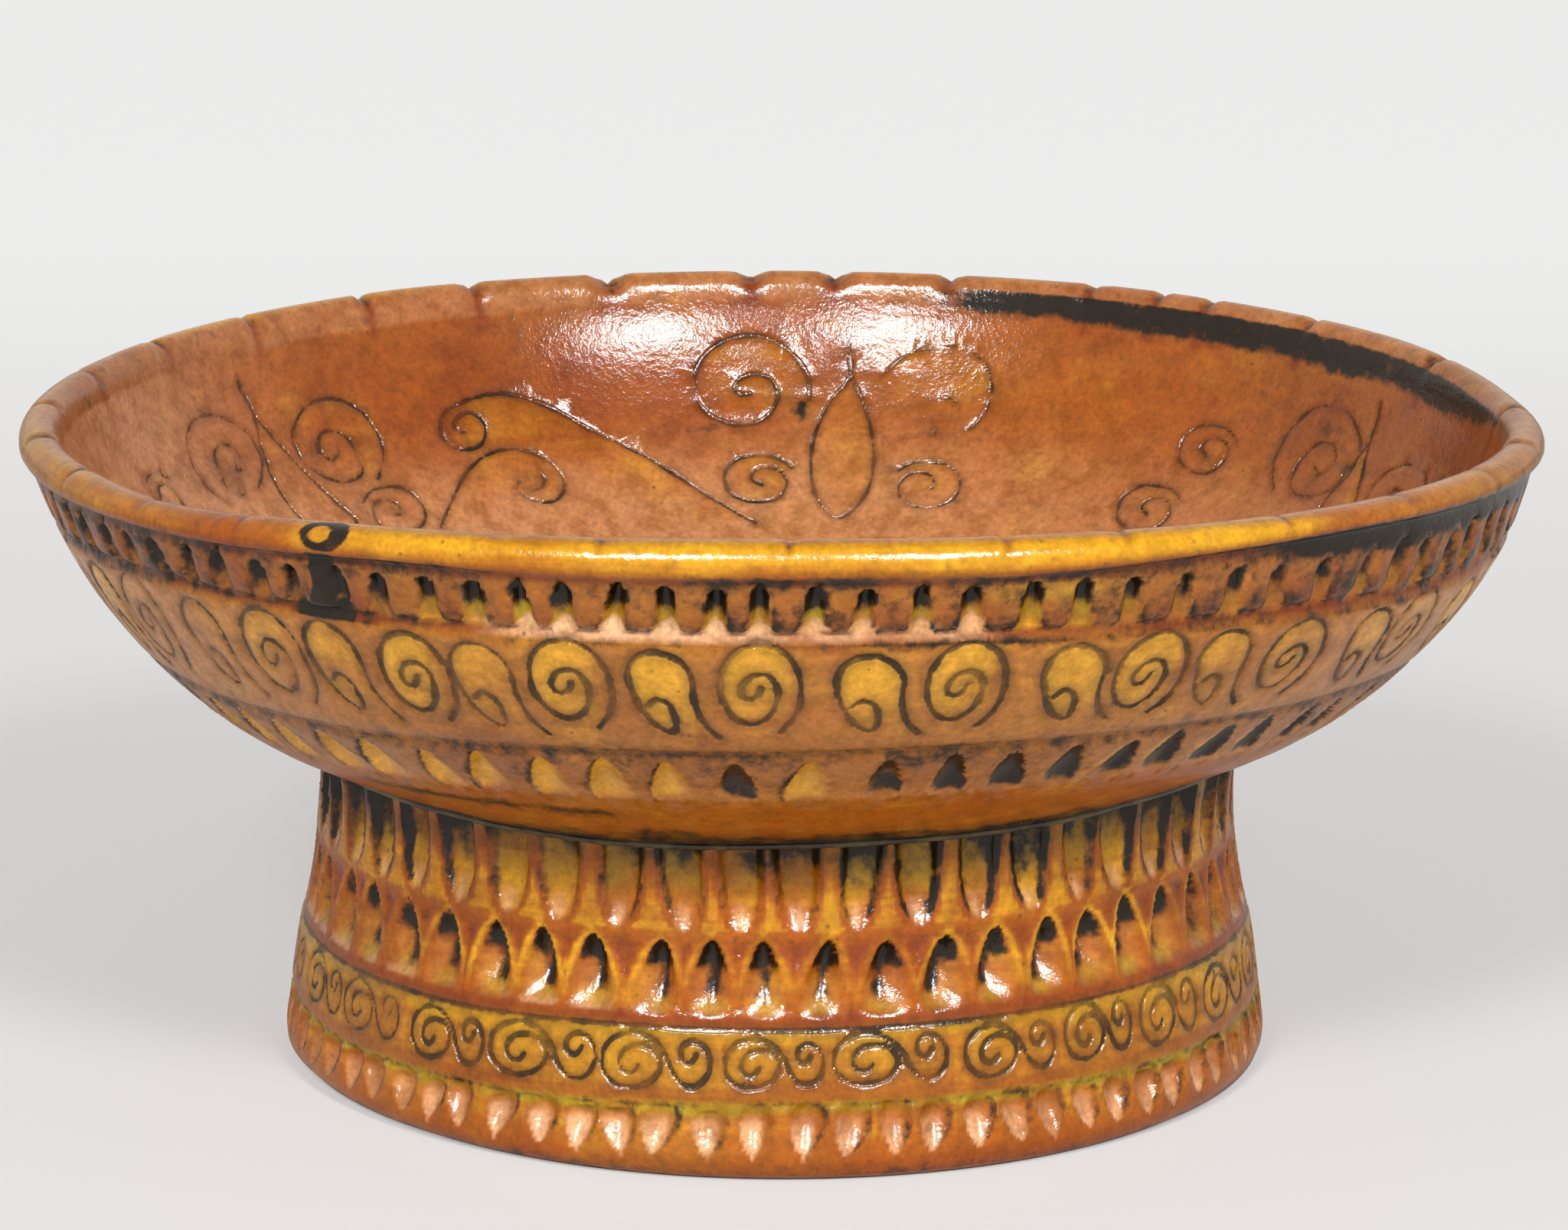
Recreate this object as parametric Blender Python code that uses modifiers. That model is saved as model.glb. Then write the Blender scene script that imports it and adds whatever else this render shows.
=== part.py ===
# Footed bowl in honey-glazed redware, built as a potter assembles it.
# A thrown bowl stands on a hollow thrown foot, with slip in the joint and a coil of clay inside its corner.
# Metres, +Z up. The origin is the middle of the circle that the foot rests on.
import math

import bmesh
import bpy
from mathutils import Vector
from mathutils.geometry import interpolate_bezier

# Turning: straight sides round each turned piece, and points along its curved stretches
TURN_STEPS = 60
CURVE_POINTS = 8

# Joint between the pieces
CLEARANCE = 0.0003
SLIP_THICKNESS = 0.0010
SLIP_BEAD = 0.0012
COIL_HEIGHT = 0.0090
COIL_WIDTH = 0.0095
COIL_HOLLOW = 0.0022

# Foot: heights are above the table, radii are to its outer face
FOOT_HEIGHT = 0.0590
FOOT_REST_RADIUS = 0.0885
FOOT_BELLY_RADIUS = 0.0912
FOOT_BELLY_HEIGHT = 0.0045
FOOT_WAIST_RADIUS = 0.0852
FOOT_WAIST_HEIGHT = 0.0470
FOOT_TOP_RADIUS = 0.0868
FOOT_WALL_AT_REST = 0.0090
FOOT_WALL_AT_TOP = 0.0082
FOOT_RIM_CHAMFER = 0.0012
FOOT_LEDGE_HEIGHT = 0.0265
FOOT_LEDGE_STEP = 0.0006
FOOT_GROOVE_HEIGHT = 0.0138

# Bowl: heights are above its own flat underside
BOWL_SEAT_RADIUS = 0.0889
BOWL_NECK_HEIGHT = 0.0564
BOWL_NECK_RADIUS = 0.1383
BOWL_SHOULDER_PULL = (0.0242, 0.0081)
BOWL_NECK_PULL = (0.0064, 0.0214)
FLOOR_THICKNESS = 0.0080
WALL_AT_NECK = 0.0066
LIP_OVERHANG = 0.0017
LIP_RISE = 0.0070
BOWL_LEDGE_HEIGHT = 0.0454
BOWL_LEDGE_STEP = 0.0006
BOWL_GROOVE_HEIGHT = 0.0228

# Turned grooves
GROOVE_DEPTH = 0.0008
GROOVE_HALF_WIDTH = 0.0011

# Carved tool marks: number round the piece, length up the wall, half width, depth,
# and where between its lower end, 0, and its upper end, 1, a mark is widest and deepest
LIP_NICKS = 28
LIP_NICK_RADIUS = 0.0017
LIP_NICK_DEPTH = 0.0010
LIP_NICK_LENGTH = 0.0052

NECK_GOUGES = 96
NECK_GOUGE_LENGTH = 0.0098
NECK_GOUGE_HALF_WIDTH = 0.0036
NECK_GOUGE_DEPTH = 0.0030
NECK_GOUGE_WIDEST = 0.35

BELLY_FACETS = 66
BELLY_FACET_LENGTH = 0.0092
BELLY_FACET_HALF_WIDTH = 0.0047
BELLY_FACET_DEPTH = 0.0018
BELLY_FACET_WIDEST = 0.30

FLUTES = 50
FLUTE_END_HEIGHT = 0.0425
FLUTE_HALF_WIDTH = 0.0046
FLUTE_DEPTH = 0.0032
FLUTE_WIDEST = 0.75

ARCHES = 50
ARCH_LENGTH = 0.0140
ARCH_HALF_WIDTH = 0.0047
ARCH_DEPTH = 0.0032
ARCH_WIDEST = 0.35

BASE_GOUGES = 72
BASE_GOUGE_LENGTH = 0.0090
BASE_GOUGE_HALF_WIDTH = 0.0036
BASE_GOUGE_DEPTH = 0.0024
BASE_GOUGE_WIDEST = 0.75

# How far outside the wall a gouge's ends lie, so that it leaves the clay cleanly
MARK_OVERCUT = 0.0002

# Gap left between a carved mark and the ledge or groove that bounds it
MARK_MARGIN = 0.0008

# Linear colours
HONEY_GLAZE = (0.46, 0.19, 0.035)
AMBER_GLAZE = (0.42, 0.155, 0.028)
DARK_SLIP = (0.035, 0.026, 0.012)
BARE_CLAY = (0.36, 0.14, 0.07)

CUT_COLLECTION = "cutting_tools"
PART_COLLECTION = "footed_bowl"


def clear_scene():
    for thing in list(bpy.data.objects):
        bpy.data.objects.remove(thing, do_unlink=True)


def new_collection(name):
    collection = bpy.data.collections.new(name)
    bpy.context.scene.collection.children.link(collection)
    return collection


def clay_material(name, colour, roughness):
    material = bpy.data.materials.new(name)
    material.use_nodes = True
    shader = material.node_tree.nodes["Principled BSDF"]
    shader.inputs["Base Color"].default_value = (*colour, 1.0)
    shader.inputs["Roughness"].default_value = roughness
    shader.inputs["Metallic"].default_value = 0.0
    return material


def bezier_points(start, pull, push, end, count):
    """Points (radius, height) on a curve that leaves start along pull and arrives at end along push."""
    first = Vector((start[0], start[1]))
    last = Vector((end[0], end[1]))
    points = interpolate_bezier(first, first + Vector(pull), last - Vector(push), last, count)
    return [(point.x, point.y) for point in points]


def radius_at(outline, height):
    """Outer radius at a height, on an outline that runs from bottom to top."""
    for (low_radius, low), (high_radius, high) in zip(outline, outline[1:]):
        if low <= height <= high:
            share = (height - low) / (high - low)
            return low_radius + share * (high_radius - low_radius)
    return outline[0][0] if height < outline[0][1] else outline[-1][0]


def with_groove(outline, height):
    """The outline with a turned V groove at a height."""
    low = height - GROOVE_HALF_WIDTH
    high = height + GROOVE_HALF_WIDTH
    groove = [(radius_at(outline, low), low),
              (radius_at(outline, height) - GROOVE_DEPTH, height),
              (radius_at(outline, high), high)]
    below = [point for point in outline if point[1] < low]
    above = [point for point in outline if point[1] > high]
    return below + groove + above


def with_ledge(outline, height, step):
    """The outline with all that is above a height set back by a step, which leaves a small ledge."""
    edge = radius_at(outline, height)
    below = [point for point in outline if point[1] < height]
    above = [(radius - step, level) for radius, level in outline if level > height + step]
    return below + [(edge, height), (edge - step, height + step / 2)] + above


def turned_piece(name, profile, material, collection):
    """A closed profile turned round +Z. It runs down its outer side, top to bottom."""
    mesh = bpy.data.meshes.new(name)
    bm = bmesh.new()
    ring = [bm.verts.new((radius, 0.0, height)) for radius, height in profile]
    for start, end in zip(ring, ring[1:]):
        bm.edges.new((start, end))
    if profile[0][0] > 0.0:
        bm.edges.new((ring[-1], ring[0]))
    bm.to_mesh(mesh)
    bm.free()
    piece = bpy.data.objects.new(name, mesh)
    collection.objects.link(piece)
    mesh.materials.append(material)
    screw = piece.modifiers.new("turned", "SCREW")
    screw.axis = "Z"
    screw.angle = 2.0 * math.pi
    screw.steps = TURN_STEPS
    screw.render_steps = TURN_STEPS
    screw.use_merge_vertices = True
    screw.merge_threshold = 0.00001
    screw.use_smooth_shade = True
    return piece


def cut_with(piece, bm, name, tools):
    """Turn finished gouge geometry into a hidden object and cut the piece with it."""
    mesh = bpy.data.meshes.new(name)
    bm.to_mesh(mesh)
    bm.free()
    tool = bpy.data.objects.new(name, mesh)
    tool.hide_render = True
    tool.display_type = "WIRE"
    tools.objects.link(tool)
    cut = piece.modifiers.new(name, "BOOLEAN")
    cut.operation = "DIFFERENCE"
    cut.solver = "EXACT"
    cut.object = tool


def place_round(vert, angle, outward, across, height):
    """Move a point to its place on the wall, at an angle round +Z."""
    vert.co.x = outward * math.cos(angle) - across * math.sin(angle)
    vert.co.y = outward * math.sin(angle) + across * math.cos(angle)
    vert.co.z = height


def add_gouges(bm, outline, count, low, high, half_width, depth, widest, turn=0.0):
    """A row of V gouges. Each is a four-sided spindle whose middle line follows the wall's surface."""
    for number in range(count):
        angle = 2.0 * math.pi * (number + turn) / count
        spindle = bmesh.ops.create_uvsphere(bm, u_segments=4, v_segments=2, radius=1.0)["verts"]
        for vert in spindle:
            share = widest if abs(vert.co.z) < 0.5 else (vert.co.z + 1.0) / 2.0
            height = low + share * (high - low)
            outward = radius_at(outline, height) + MARK_OVERCUT + vert.co.x * (depth + MARK_OVERCUT)
            place_round(vert, angle, outward, vert.co.y * half_width, height)


def add_nicks(bm, radius, crest):
    """Shallow nicks across the lip's inner edge, each cut by a short rod that points at the middle."""
    for number in range(LIP_NICKS):
        angle = 2.0 * math.pi * (number + 0.5) / LIP_NICKS
        rod = bmesh.ops.create_cone(bm, cap_ends=True, segments=6, radius1=LIP_NICK_RADIUS,
                                    radius2=LIP_NICK_RADIUS, depth=LIP_NICK_LENGTH)["verts"]
        for vert in rod:
            height = crest + LIP_NICK_RADIUS - LIP_NICK_DEPTH + vert.co.y
            place_round(vert, angle, radius + vert.co.z, vert.co.x, height)


def foot_wall():
    """Outer face of the foot from the table to its top, as thrown."""
    base_turn = [(FOOT_REST_RADIUS, 0.0),
                 (FOOT_REST_RADIUS + 0.6 * (FOOT_BELLY_RADIUS - FOOT_REST_RADIUS), 0.25 * FOOT_BELLY_HEIGHT)]
    belly = (FOOT_BELLY_RADIUS, FOOT_BELLY_HEIGHT)
    waist = (FOOT_WAIST_RADIUS, FOOT_WAIST_HEIGHT)
    top = (FOOT_TOP_RADIUS, FOOT_HEIGHT)
    rise = (FOOT_WAIST_HEIGHT - FOOT_BELLY_HEIGHT) / 3.0
    flare = (FOOT_HEIGHT - FOOT_WAIST_HEIGHT) / 3.0
    lower = bezier_points(belly, (0.0, rise), (0.0, rise), waist, CURVE_POINTS)
    upper = bezier_points(waist, (0.0, flare), ((FOOT_TOP_RADIUS - FOOT_WAIST_RADIUS) / 2.0, flare), top, 4)
    return base_turn + lower + upper[1:]


def foot_outline():
    """The foot's wall with its ledge and groove turned in."""
    outline = with_ledge(foot_wall(), FOOT_LEDGE_HEIGHT, FOOT_LEDGE_STEP)
    return with_groove(outline, FOOT_GROOVE_HEIGHT)


def foot_inside():
    """Inner face of the foot from the table up, set in by the wall's thickness."""
    middle = (FOOT_BELLY_HEIGHT + FOOT_WAIST_HEIGHT) / 2.0
    inside = []
    for height in (0.0, FOOT_RIM_CHAMFER, FOOT_BELLY_HEIGHT, middle, FOOT_WAIST_HEIGHT, FOOT_HEIGHT):
        share = height / FOOT_HEIGHT
        thickness = FOOT_WALL_AT_REST + share * (FOOT_WALL_AT_TOP - FOOT_WALL_AT_REST)
        inside.append((radius_at(foot_wall(), height) - thickness, height))
    return inside


def bowl_underside():
    return FOOT_HEIGHT + CLEARANCE + SLIP_THICKNESS + CLEARANCE


def bowl_wall():
    """Outer face of the bowl's wall from its underside's edge to the neck below the lip, as thrown."""
    base = bowl_underside()
    seat = (BOWL_SEAT_RADIUS, base)
    neck = (BOWL_NECK_RADIUS, base + BOWL_NECK_HEIGHT)
    return bezier_points(seat, BOWL_SHOULDER_PULL, BOWL_NECK_PULL, neck, CURVE_POINTS)


def bowl_outline():
    """The wall with its ledge and groove turned in."""
    base = bowl_underside()
    outline = with_ledge(bowl_wall(), base + BOWL_LEDGE_HEIGHT, BOWL_LEDGE_STEP)
    return with_groove(outline, base + BOWL_GROOVE_HEIGHT)


def bowl_inside():
    """Inner face of the bowl from the floor's edge to the neck, set in by the wall's thickness."""
    wall = bowl_wall()
    inside = []
    last = len(wall) - 1
    for index in range(1, last + 1):
        before = wall[index - 1]
        after = wall[min(index + 1, last)]
        run = Vector((after[0] - before[0], after[1] - before[1])).normalized()
        thickness = FLOOR_THICKNESS + (WALL_AT_NECK - FLOOR_THICKNESS) * index / last
        inside.append((wall[index][0] - run.y * thickness, wall[index][1] + run.x * thickness))
    return inside


def lip_arc(inner_edge):
    """The rolled lip, from its inner side over the crest to the neck outside."""
    neck_height = bowl_underside() + BOWL_NECK_HEIGHT
    crest = neck_height + LIP_RISE
    outer_edge = BOWL_NECK_RADIUS + LIP_OVERHANG
    lower_turn = math.radians(60.0)
    half_width = (outer_edge - inner_edge) / 2.0
    half_height = LIP_RISE / (1.0 + math.sin(lower_turn))
    middle = (inner_edge + half_width, crest - half_height)
    arc = []
    steps = 8
    for step in range(steps + 1):
        angle = math.pi - (math.pi + lower_turn) * step / steps
        arc.append((middle[0] + half_width * math.cos(angle), middle[1] + half_height * math.sin(angle)))
    return arc


def make_foot(collection, tools):
    outline = foot_outline()
    inside = foot_inside()
    profile = [inside[-1]] + outline[::-1]
    profile.append((inside[0][0] + FOOT_RIM_CHAMFER, 0.0))
    profile += inside[1:-1]
    glaze = clay_material("amber_glaze", AMBER_GLAZE, 0.22)
    foot = turned_piece("foot", profile, glaze, collection)
    marks = bmesh.new()
    flute_top = FOOT_HEIGHT + (FOOT_HEIGHT - FLUTE_END_HEIGHT) / 2.0
    add_gouges(marks, outline, FLUTES, FLUTE_END_HEIGHT, flute_top,
               FLUTE_HALF_WIDTH, FLUTE_DEPTH, FLUTE_WIDEST)
    arch_foot = FOOT_LEDGE_HEIGHT + MARK_MARGIN
    add_gouges(marks, outline, ARCHES, arch_foot, arch_foot + ARCH_LENGTH,
               ARCH_HALF_WIDTH, ARCH_DEPTH, ARCH_WIDEST, turn=0.5)
    gouge_top = FOOT_GROOVE_HEIGHT - GROOVE_HALF_WIDTH + MARK_MARGIN
    add_gouges(marks, outline, BASE_GOUGES, gouge_top - BASE_GOUGE_LENGTH, gouge_top,
               BASE_GOUGE_HALF_WIDTH, BASE_GOUGE_DEPTH, BASE_GOUGE_WIDEST)
    cut_with(foot, marks, "foot_marks", tools)
    return foot


def make_bowl(collection, tools):
    base = bowl_underside()
    neck = base + BOWL_NECK_HEIGHT
    outline = bowl_outline()
    inside = bowl_inside()
    lip = lip_arc(inside[-1][0])
    floor = base + FLOOR_THICKNESS
    floor_edge = inside[0][0] - (inside[0][1] - floor) - FLOOR_THICKNESS
    profile = [(0.0, floor), (floor_edge, floor)]
    profile += [point for point in inside if point[1] < lip[0][1] - GROOVE_HALF_WIDTH]
    profile += lip + outline[::-1] + [(0.0, base)]
    glaze = clay_material("honey_glaze", HONEY_GLAZE, 0.2)
    bowl = turned_piece("bowl", profile, glaze, collection)
    marks = bmesh.new()
    add_nicks(marks, lip[0][0] + LIP_NICK_LENGTH / 4.0, neck + LIP_RISE)
    gouge_foot = base + BOWL_LEDGE_HEIGHT + BOWL_LEDGE_STEP
    add_gouges(marks, outline, NECK_GOUGES, gouge_foot, gouge_foot + NECK_GOUGE_LENGTH,
               NECK_GOUGE_HALF_WIDTH, NECK_GOUGE_DEPTH, NECK_GOUGE_WIDEST)
    facet_top = base + BOWL_GROOVE_HEIGHT - GROOVE_HALF_WIDTH - MARK_MARGIN
    add_gouges(marks, outline, BELLY_FACETS, facet_top - BELLY_FACET_LENGTH, facet_top,
               BELLY_FACET_HALF_WIDTH, BELLY_FACET_DEPTH, BELLY_FACET_WIDEST)
    cut_with(bowl, marks, "bowl_marks", tools)
    return bowl


def make_slip(collection):
    """The layer of slip between the foot's top and the bowl's underside, with the bead squeezed out."""
    low = FOOT_HEIGHT + CLEARANCE
    high = low + SLIP_THICKNESS
    inner = foot_inside()[-1][0]
    outer = FOOT_TOP_RADIUS
    profile = [(inner, high)]
    steps = 4
    for step in range(steps + 1):
        angle = math.pi / 2.0 - math.pi * step / steps
        height = (low + high) / 2.0 + SLIP_THICKNESS / 2.0 * math.sin(angle)
        profile.append((outer + SLIP_BEAD * math.cos(angle), height))
    profile.append((inner, low))
    slip = clay_material("dark_slip", DARK_SLIP, 0.35)
    return turned_piece("luting_slip", profile, slip, collection)


def make_coil(collection):
    """A coil of clay thumbed into the corner inside the joint, hollow on its free side."""
    high = bowl_underside() - CLEARANCE
    low = high - COIL_HEIGHT
    wall = foot_inside()
    pressed = [(radius - CLEARANCE, height) for radius, height in wall if low < height < high]
    outer_high = wall[-1][0] - CLEARANCE
    outer_low = radius_at(wall, low) - CLEARANCE
    inner = outer_high - COIL_WIDTH
    blunt = COIL_HOLLOW / 2.0
    middle = ((inner + outer_low) / 2.0 + COIL_HOLLOW, (low + high) / 2.0 + blunt)
    profile = [(inner, high), (outer_high, high)] + pressed[::-1]
    profile += [(outer_low, low), (outer_low - blunt, low), middle, (inner, high - blunt)]
    clay = clay_material("bare_clay", BARE_CLAY, 0.75)
    return turned_piece("joint_coil", profile, clay, collection)


def main():
    clear_scene()
    parts = new_collection(PART_COLLECTION)
    tools = new_collection(CUT_COLLECTION)
    make_bowl(parts, tools)
    make_foot(parts, tools)
    make_slip(parts)
    make_coil(parts)


main()
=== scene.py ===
# Footed bowl in carved redware under a honey glaze: the looks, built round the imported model.
# Settings are in millimetres and degrees. Azimuth 0 is the front, plus is to the right.
import math

import bpy
import numpy as np
from mathutils import Matrix, Vector


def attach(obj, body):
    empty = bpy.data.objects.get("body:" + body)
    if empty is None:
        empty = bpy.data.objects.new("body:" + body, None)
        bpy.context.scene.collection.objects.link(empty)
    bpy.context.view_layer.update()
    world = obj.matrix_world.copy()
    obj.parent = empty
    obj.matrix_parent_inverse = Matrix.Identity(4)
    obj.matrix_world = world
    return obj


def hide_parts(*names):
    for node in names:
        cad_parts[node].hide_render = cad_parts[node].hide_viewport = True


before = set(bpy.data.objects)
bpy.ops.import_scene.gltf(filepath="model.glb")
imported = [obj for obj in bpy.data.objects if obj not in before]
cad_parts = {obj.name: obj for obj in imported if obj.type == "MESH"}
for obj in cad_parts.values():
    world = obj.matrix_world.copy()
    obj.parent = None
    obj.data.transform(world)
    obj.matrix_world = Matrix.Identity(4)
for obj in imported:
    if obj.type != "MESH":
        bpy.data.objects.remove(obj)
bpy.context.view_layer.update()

from types import SimpleNamespace

mm = 0.001
farOff = 9.0  # a distance that counts as nowhere near
# pool holds dark pooled glaze and painted shade; pale holds painted sheen and highlights
glazes = ("gold", "pool", "rust", "olive", "amber", "pale")
fieldNames = ("lineGap", *glazes, "bare")


def ramp(value, low, high):
    # 0 at low and 1 at high, eased at both ends; it falls when low is the greater one
    share = np.clip((value - low) / (high - low), 0, 1)
    return share * share * (3 - 2 * share)


def between(value, begins, full, fades, ends):
    return ramp(value, begins, full) * ramp(value, ends, fades)


def slide(value, low, high, first, last):
    return first + (last - first) * ramp(value, low, high)


def bell(value, middle, width):
    return np.exp(-((value - middle) / width) ** 2)


def mix(value, base=0, gain=1):
    return base + gain * value


def waver(angle, seed, beats):
    # a slow random wave round the pot, about -1 to 1, that closes after a full turn
    rng = np.random.default_rng(seed)
    total = np.zeros_like(angle)
    for beat in range(1, beats + 1):
        strength = rng.normal() / math.sqrt(beat)
        total += strength * np.sin(np.radians(angle * beat) + rng.uniform(0, 2 * math.pi))
    return total / 2


def wave(angle, seed, beats, base, gain, least=-math.inf, most=math.inf):
    return np.clip(base + gain * waver(angle, seed, beats), least, most)


def spread(seen, count, uneven=0.07):
    # marks measured on the front, then the others over the rest of the turn
    others = np.arange(1, count - len(seen) + 1)
    gap = (360 - (seen[-1] - seen[0])) / (len(others) + 1)
    more = seen[-1] + gap * (others + uneven * np.sin(2.7 * others))
    return np.sort(halfTurn(np.concatenate([seen, more])))


def halfTurn(angle):
    # the same direction as an angle from -180 to 180
    return (angle + 180) % 360 - 180


def nearest(angle, marks):
    # the mark next to each angle, and how many degrees past it the angle is
    ring = np.concatenate([marks - 360, marks, marks + 360])
    which = np.searchsorted((ring[1:] + ring[:-1]) / 2, angle)
    return which % len(marks), angle - ring[which]


def travelled(path):
    return np.concatenate([[0], np.cumsum(np.hypot(*np.diff(path, axis=0).T))])


def smoothPath(points, step):
    # a smooth line through the points
    points = np.array(points, float)
    knots = travelled(points)
    slopes = np.gradient(points, knots, axis=0)
    fine = np.linspace(0, knots[-1], int(knots[-1] / step) + 2)
    k = np.clip(np.searchsorted(knots, fine, side="right") - 1, 0, len(knots) - 2)
    span = (knots[k + 1] - knots[k])[:, None]
    t = (fine - knots[k])[:, None] / span
    start = (2 * t**3 - 3 * t**2 + 1) * points[k] + (t**3 - 2 * t**2 + t) * span * slopes[k]
    return start + (3 * t**2 - 2 * t**3) * points[k + 1] + (t**3 - t**2) * span * slopes[k + 1]


def followLine(u, v, path):
    # how far each point is from a drawn line, and whether it lies inside its loops
    gap = np.full(len(u), farOff)
    turns = np.zeros(len(u))
    ends = np.vstack([path[1:], path[:1]])
    for number, ((ax, ay), (bx, by)) in enumerate(zip(path, ends)):
        dx, dy = bx - ax, by - ay
        if number < len(path) - 1:
            t = np.clip(((u - ax) * dx + (v - ay) * dy) / (dx * dx + dy * dy + 1e-9), 0, 1)
            gap = np.minimum(gap, np.hypot(u - ax - t * dx, v - ay - t * dy))
        side = dx * (v - ay) - dy * (u - ax)
        turns += (ay <= v) & (v < by) & (side > 0)
        turns -= (by <= v) & (v < ay) & (side < 0)
    return gap, turns != 0


def turnedProfile(sections):
    # a potter's section through the wall: for a share of the rows, its radius, height and lengths
    rows = sum(section["rows"] for section in sections)
    profile = {"rows": rows, "share": [], "radius": [], "height": [], "along": [], "starts": []}
    begin = 0
    length = 0
    for section in sections:
        path = smoothPath(section["points"], 0.05)
        along = travelled(path)
        profile["starts"].append(begin / rows)
        profile["share"].append((begin + section["rows"] * along / along[-1])[:-1] / rows)
        profile["radius"].append(path[:-1, 0])
        profile["height"].append(path[:-1, 1])
        profile["along"].append(length + along[:-1])
        begin += section["rows"]
        length += along[-1]
    last = sections[-1]["points"][-1]
    for name, value in (("share", 1), ("radius", last[0]), ("height", last[1]), ("along", length)):
        profile[name] = np.concatenate(profile[name] + [[value]])
    return profile


def onProfile(profile, x, y):
    # places on the wall for points of the flat sheet: x goes once round, y runs along the section
    found = {name: np.interp(y, profile["share"], profile[name]) for name in ("radius", "height", "along")}
    for name in ("radius", "height"):
        slope = np.gradient(profile[name], profile["along"])
        found[name + "Slope"] = np.interp(y, profile["share"], slope)
    part = np.searchsorted(profile["starts"], y + 1e-7, side="right") - 1
    return SimpleNamespace(angle=360 * x - 180, part=part, **found)


def deselectAll():
    if bpy.context.mode != "OBJECT":
        bpy.ops.object.mode_set(mode="OBJECT")
    bpy.ops.object.select_all(action="DESELECT")


def settle(name):
    # name the object just made and keep its place in its mesh
    bpy.ops.object.transform_apply(location=True, rotation=True, scale=True)
    made = bpy.context.active_object
    made.name = name
    return made


def flatSheet(name, columns, rows):
    deselectAll()
    bpy.ops.mesh.primitive_grid_add(x_subdivisions=columns, y_subdivisions=rows, size=1, location=(0.5, 0.5, 0))
    return settle(name)


def readSpots(items, what):
    spots = np.empty(len(items) * 3)
    items.foreach_get(what, spots)
    return spots.reshape(-1, 3)


def refine(sheet, profile, levels, cell, wanted):
    # cut the faces smaller wherever the carving needs it
    mesh = sheet.data
    bpy.context.tool_settings.mesh_select_mode = (False, False, True)
    for level in range(levels):
        middle = readSpots(mesh.polygons, "center")
        tooCoarse = wanted(onProfile(profile, middle[:, 0], middle[:, 1])) < 0.75 * cell / 2**level
        bpy.ops.object.mode_set(mode="EDIT")
        bpy.ops.mesh.select_all(action="DESELECT")
        bpy.ops.object.mode_set(mode="OBJECT")
        mesh.polygons.foreach_set("select", tooCoarse)
        bpy.ops.object.mode_set(mode="EDIT")
        bpy.ops.mesh.subdivide(number_cuts=1, ngon=False, quadcorner="INNERVERT")
        bpy.ops.object.mode_set(mode="OBJECT")


# The whole pot leans and dips a little. Each ring: azimuth and rise, at the heights given.
warp = {
    "smooth": 15,
    "heights": (0, 14, 26.5, 60, 83.6, 106, 118.6, 124),
    "rings": (
        ((-90, 0), (90, 0)),
        ((-100, -1), (-61, -2.4), (-52, -2.1), (-28, -1.5), (2, 0.4), (35, -0.6), (64, -1.9), (100, -1), (180, 0)),
        ((-100, -0.8), (-64, -1.4), (-40, -1), (-19, 0.3), (25, 0.7), (48, 0.8), (100, 0), (180, 0)),
        ((-100, 0), (-51, 0), (-18, -0.9), (2, 0), (34, 0.8), (46, 1.3), (100, 0.5), (180, 0)),
        ((-110, -1), (-67, -1.8), (-53, -2.5), (-42, -2.3), (-34, -2), (-23, -0.9), (10, 0.4), (36, 0.2),
            (45, -0.5), (58, -0.9), (68, -1.7), (110, -1), (180, 0)),
        ((-110, -2), (-67, -2.8), (-53, -1.3), (-29, -1.1), (-11, -0.4), (8, 0), (20, -0.7), (30, -1.5), (38, -2.1),
            (47, -3.2), (55, -4.1), (66, -4.9), (97, -4), (130, -1.5), (180, 0)),
        ((-110, -2.8), (-64, -3.6), (-45, -3.1), (-37, -2.3), (-27, -1), (-10, -0.5), (0, 0), (19, -0.6), (36, 0),
            (44, 0), (64, -1.6), (97, -3.8), (130, -1), (180, 0)),
        ((-145, 0), (-100, -2.8), (-64, -3.9), (-51, -4.7), (-42, -3.5), (-35, -2.2), (-23, -1.2), (-11, -0.5),
            (0, 0), (20, -0.6), (30, -1.2), (45, -2), (64, -2.6), (97, -4), (116, -1.6), (130, -1), (150, 0),
            (180, 0)),
    ),
}


def sag(angle, height):
    # how far each turned ring stands above or below its mean height
    rings = []
    edge = 2 * warp["smooth"]
    for ring in warp["rings"]:
        at, rise = zip(*ring)
        fine = np.arange(-180, 180, 1)
        level = np.interp(fine, at, rise, period=360)
        window = np.hanning(warp["smooth"])
        closed = np.concatenate([level[-edge:], level, level[:edge]])
        level = np.convolve(closed, window / window.sum(), "same")[edge:-edge]
        rings.append(np.interp(angle, fine, level, period=360))
    rings = np.array(rings)
    share = np.interp(height, warp["heights"], np.arange(len(rings)))
    low = np.clip(share.astype(int), 0, len(rings) - 2)
    every = np.arange(len(angle))
    return rings[low, every] + (share - low) * (rings[low + 1, every] - rings[low, every])


def setRound(mesh, angle, radius, height):
    height = height + sag(angle, height)
    turn = np.radians(angle)
    spots = np.stack([radius * np.sin(turn), -radius * np.cos(turn), height], axis=1) * mm
    mesh.vertices.foreach_set("co", spots.ravel())
    mesh.update()


def closeUp(joinWithin):
    # join the edges that meet, in edit mode, and leave it
    bpy.ops.mesh.select_all(action="SELECT")
    bpy.ops.mesh.remove_doubles(threshold=joinWithin)
    bpy.ops.mesh.normals_make_consistent(inside=False)
    bpy.ops.object.mode_set(mode="OBJECT")
    bpy.ops.object.shade_smooth()


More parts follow.
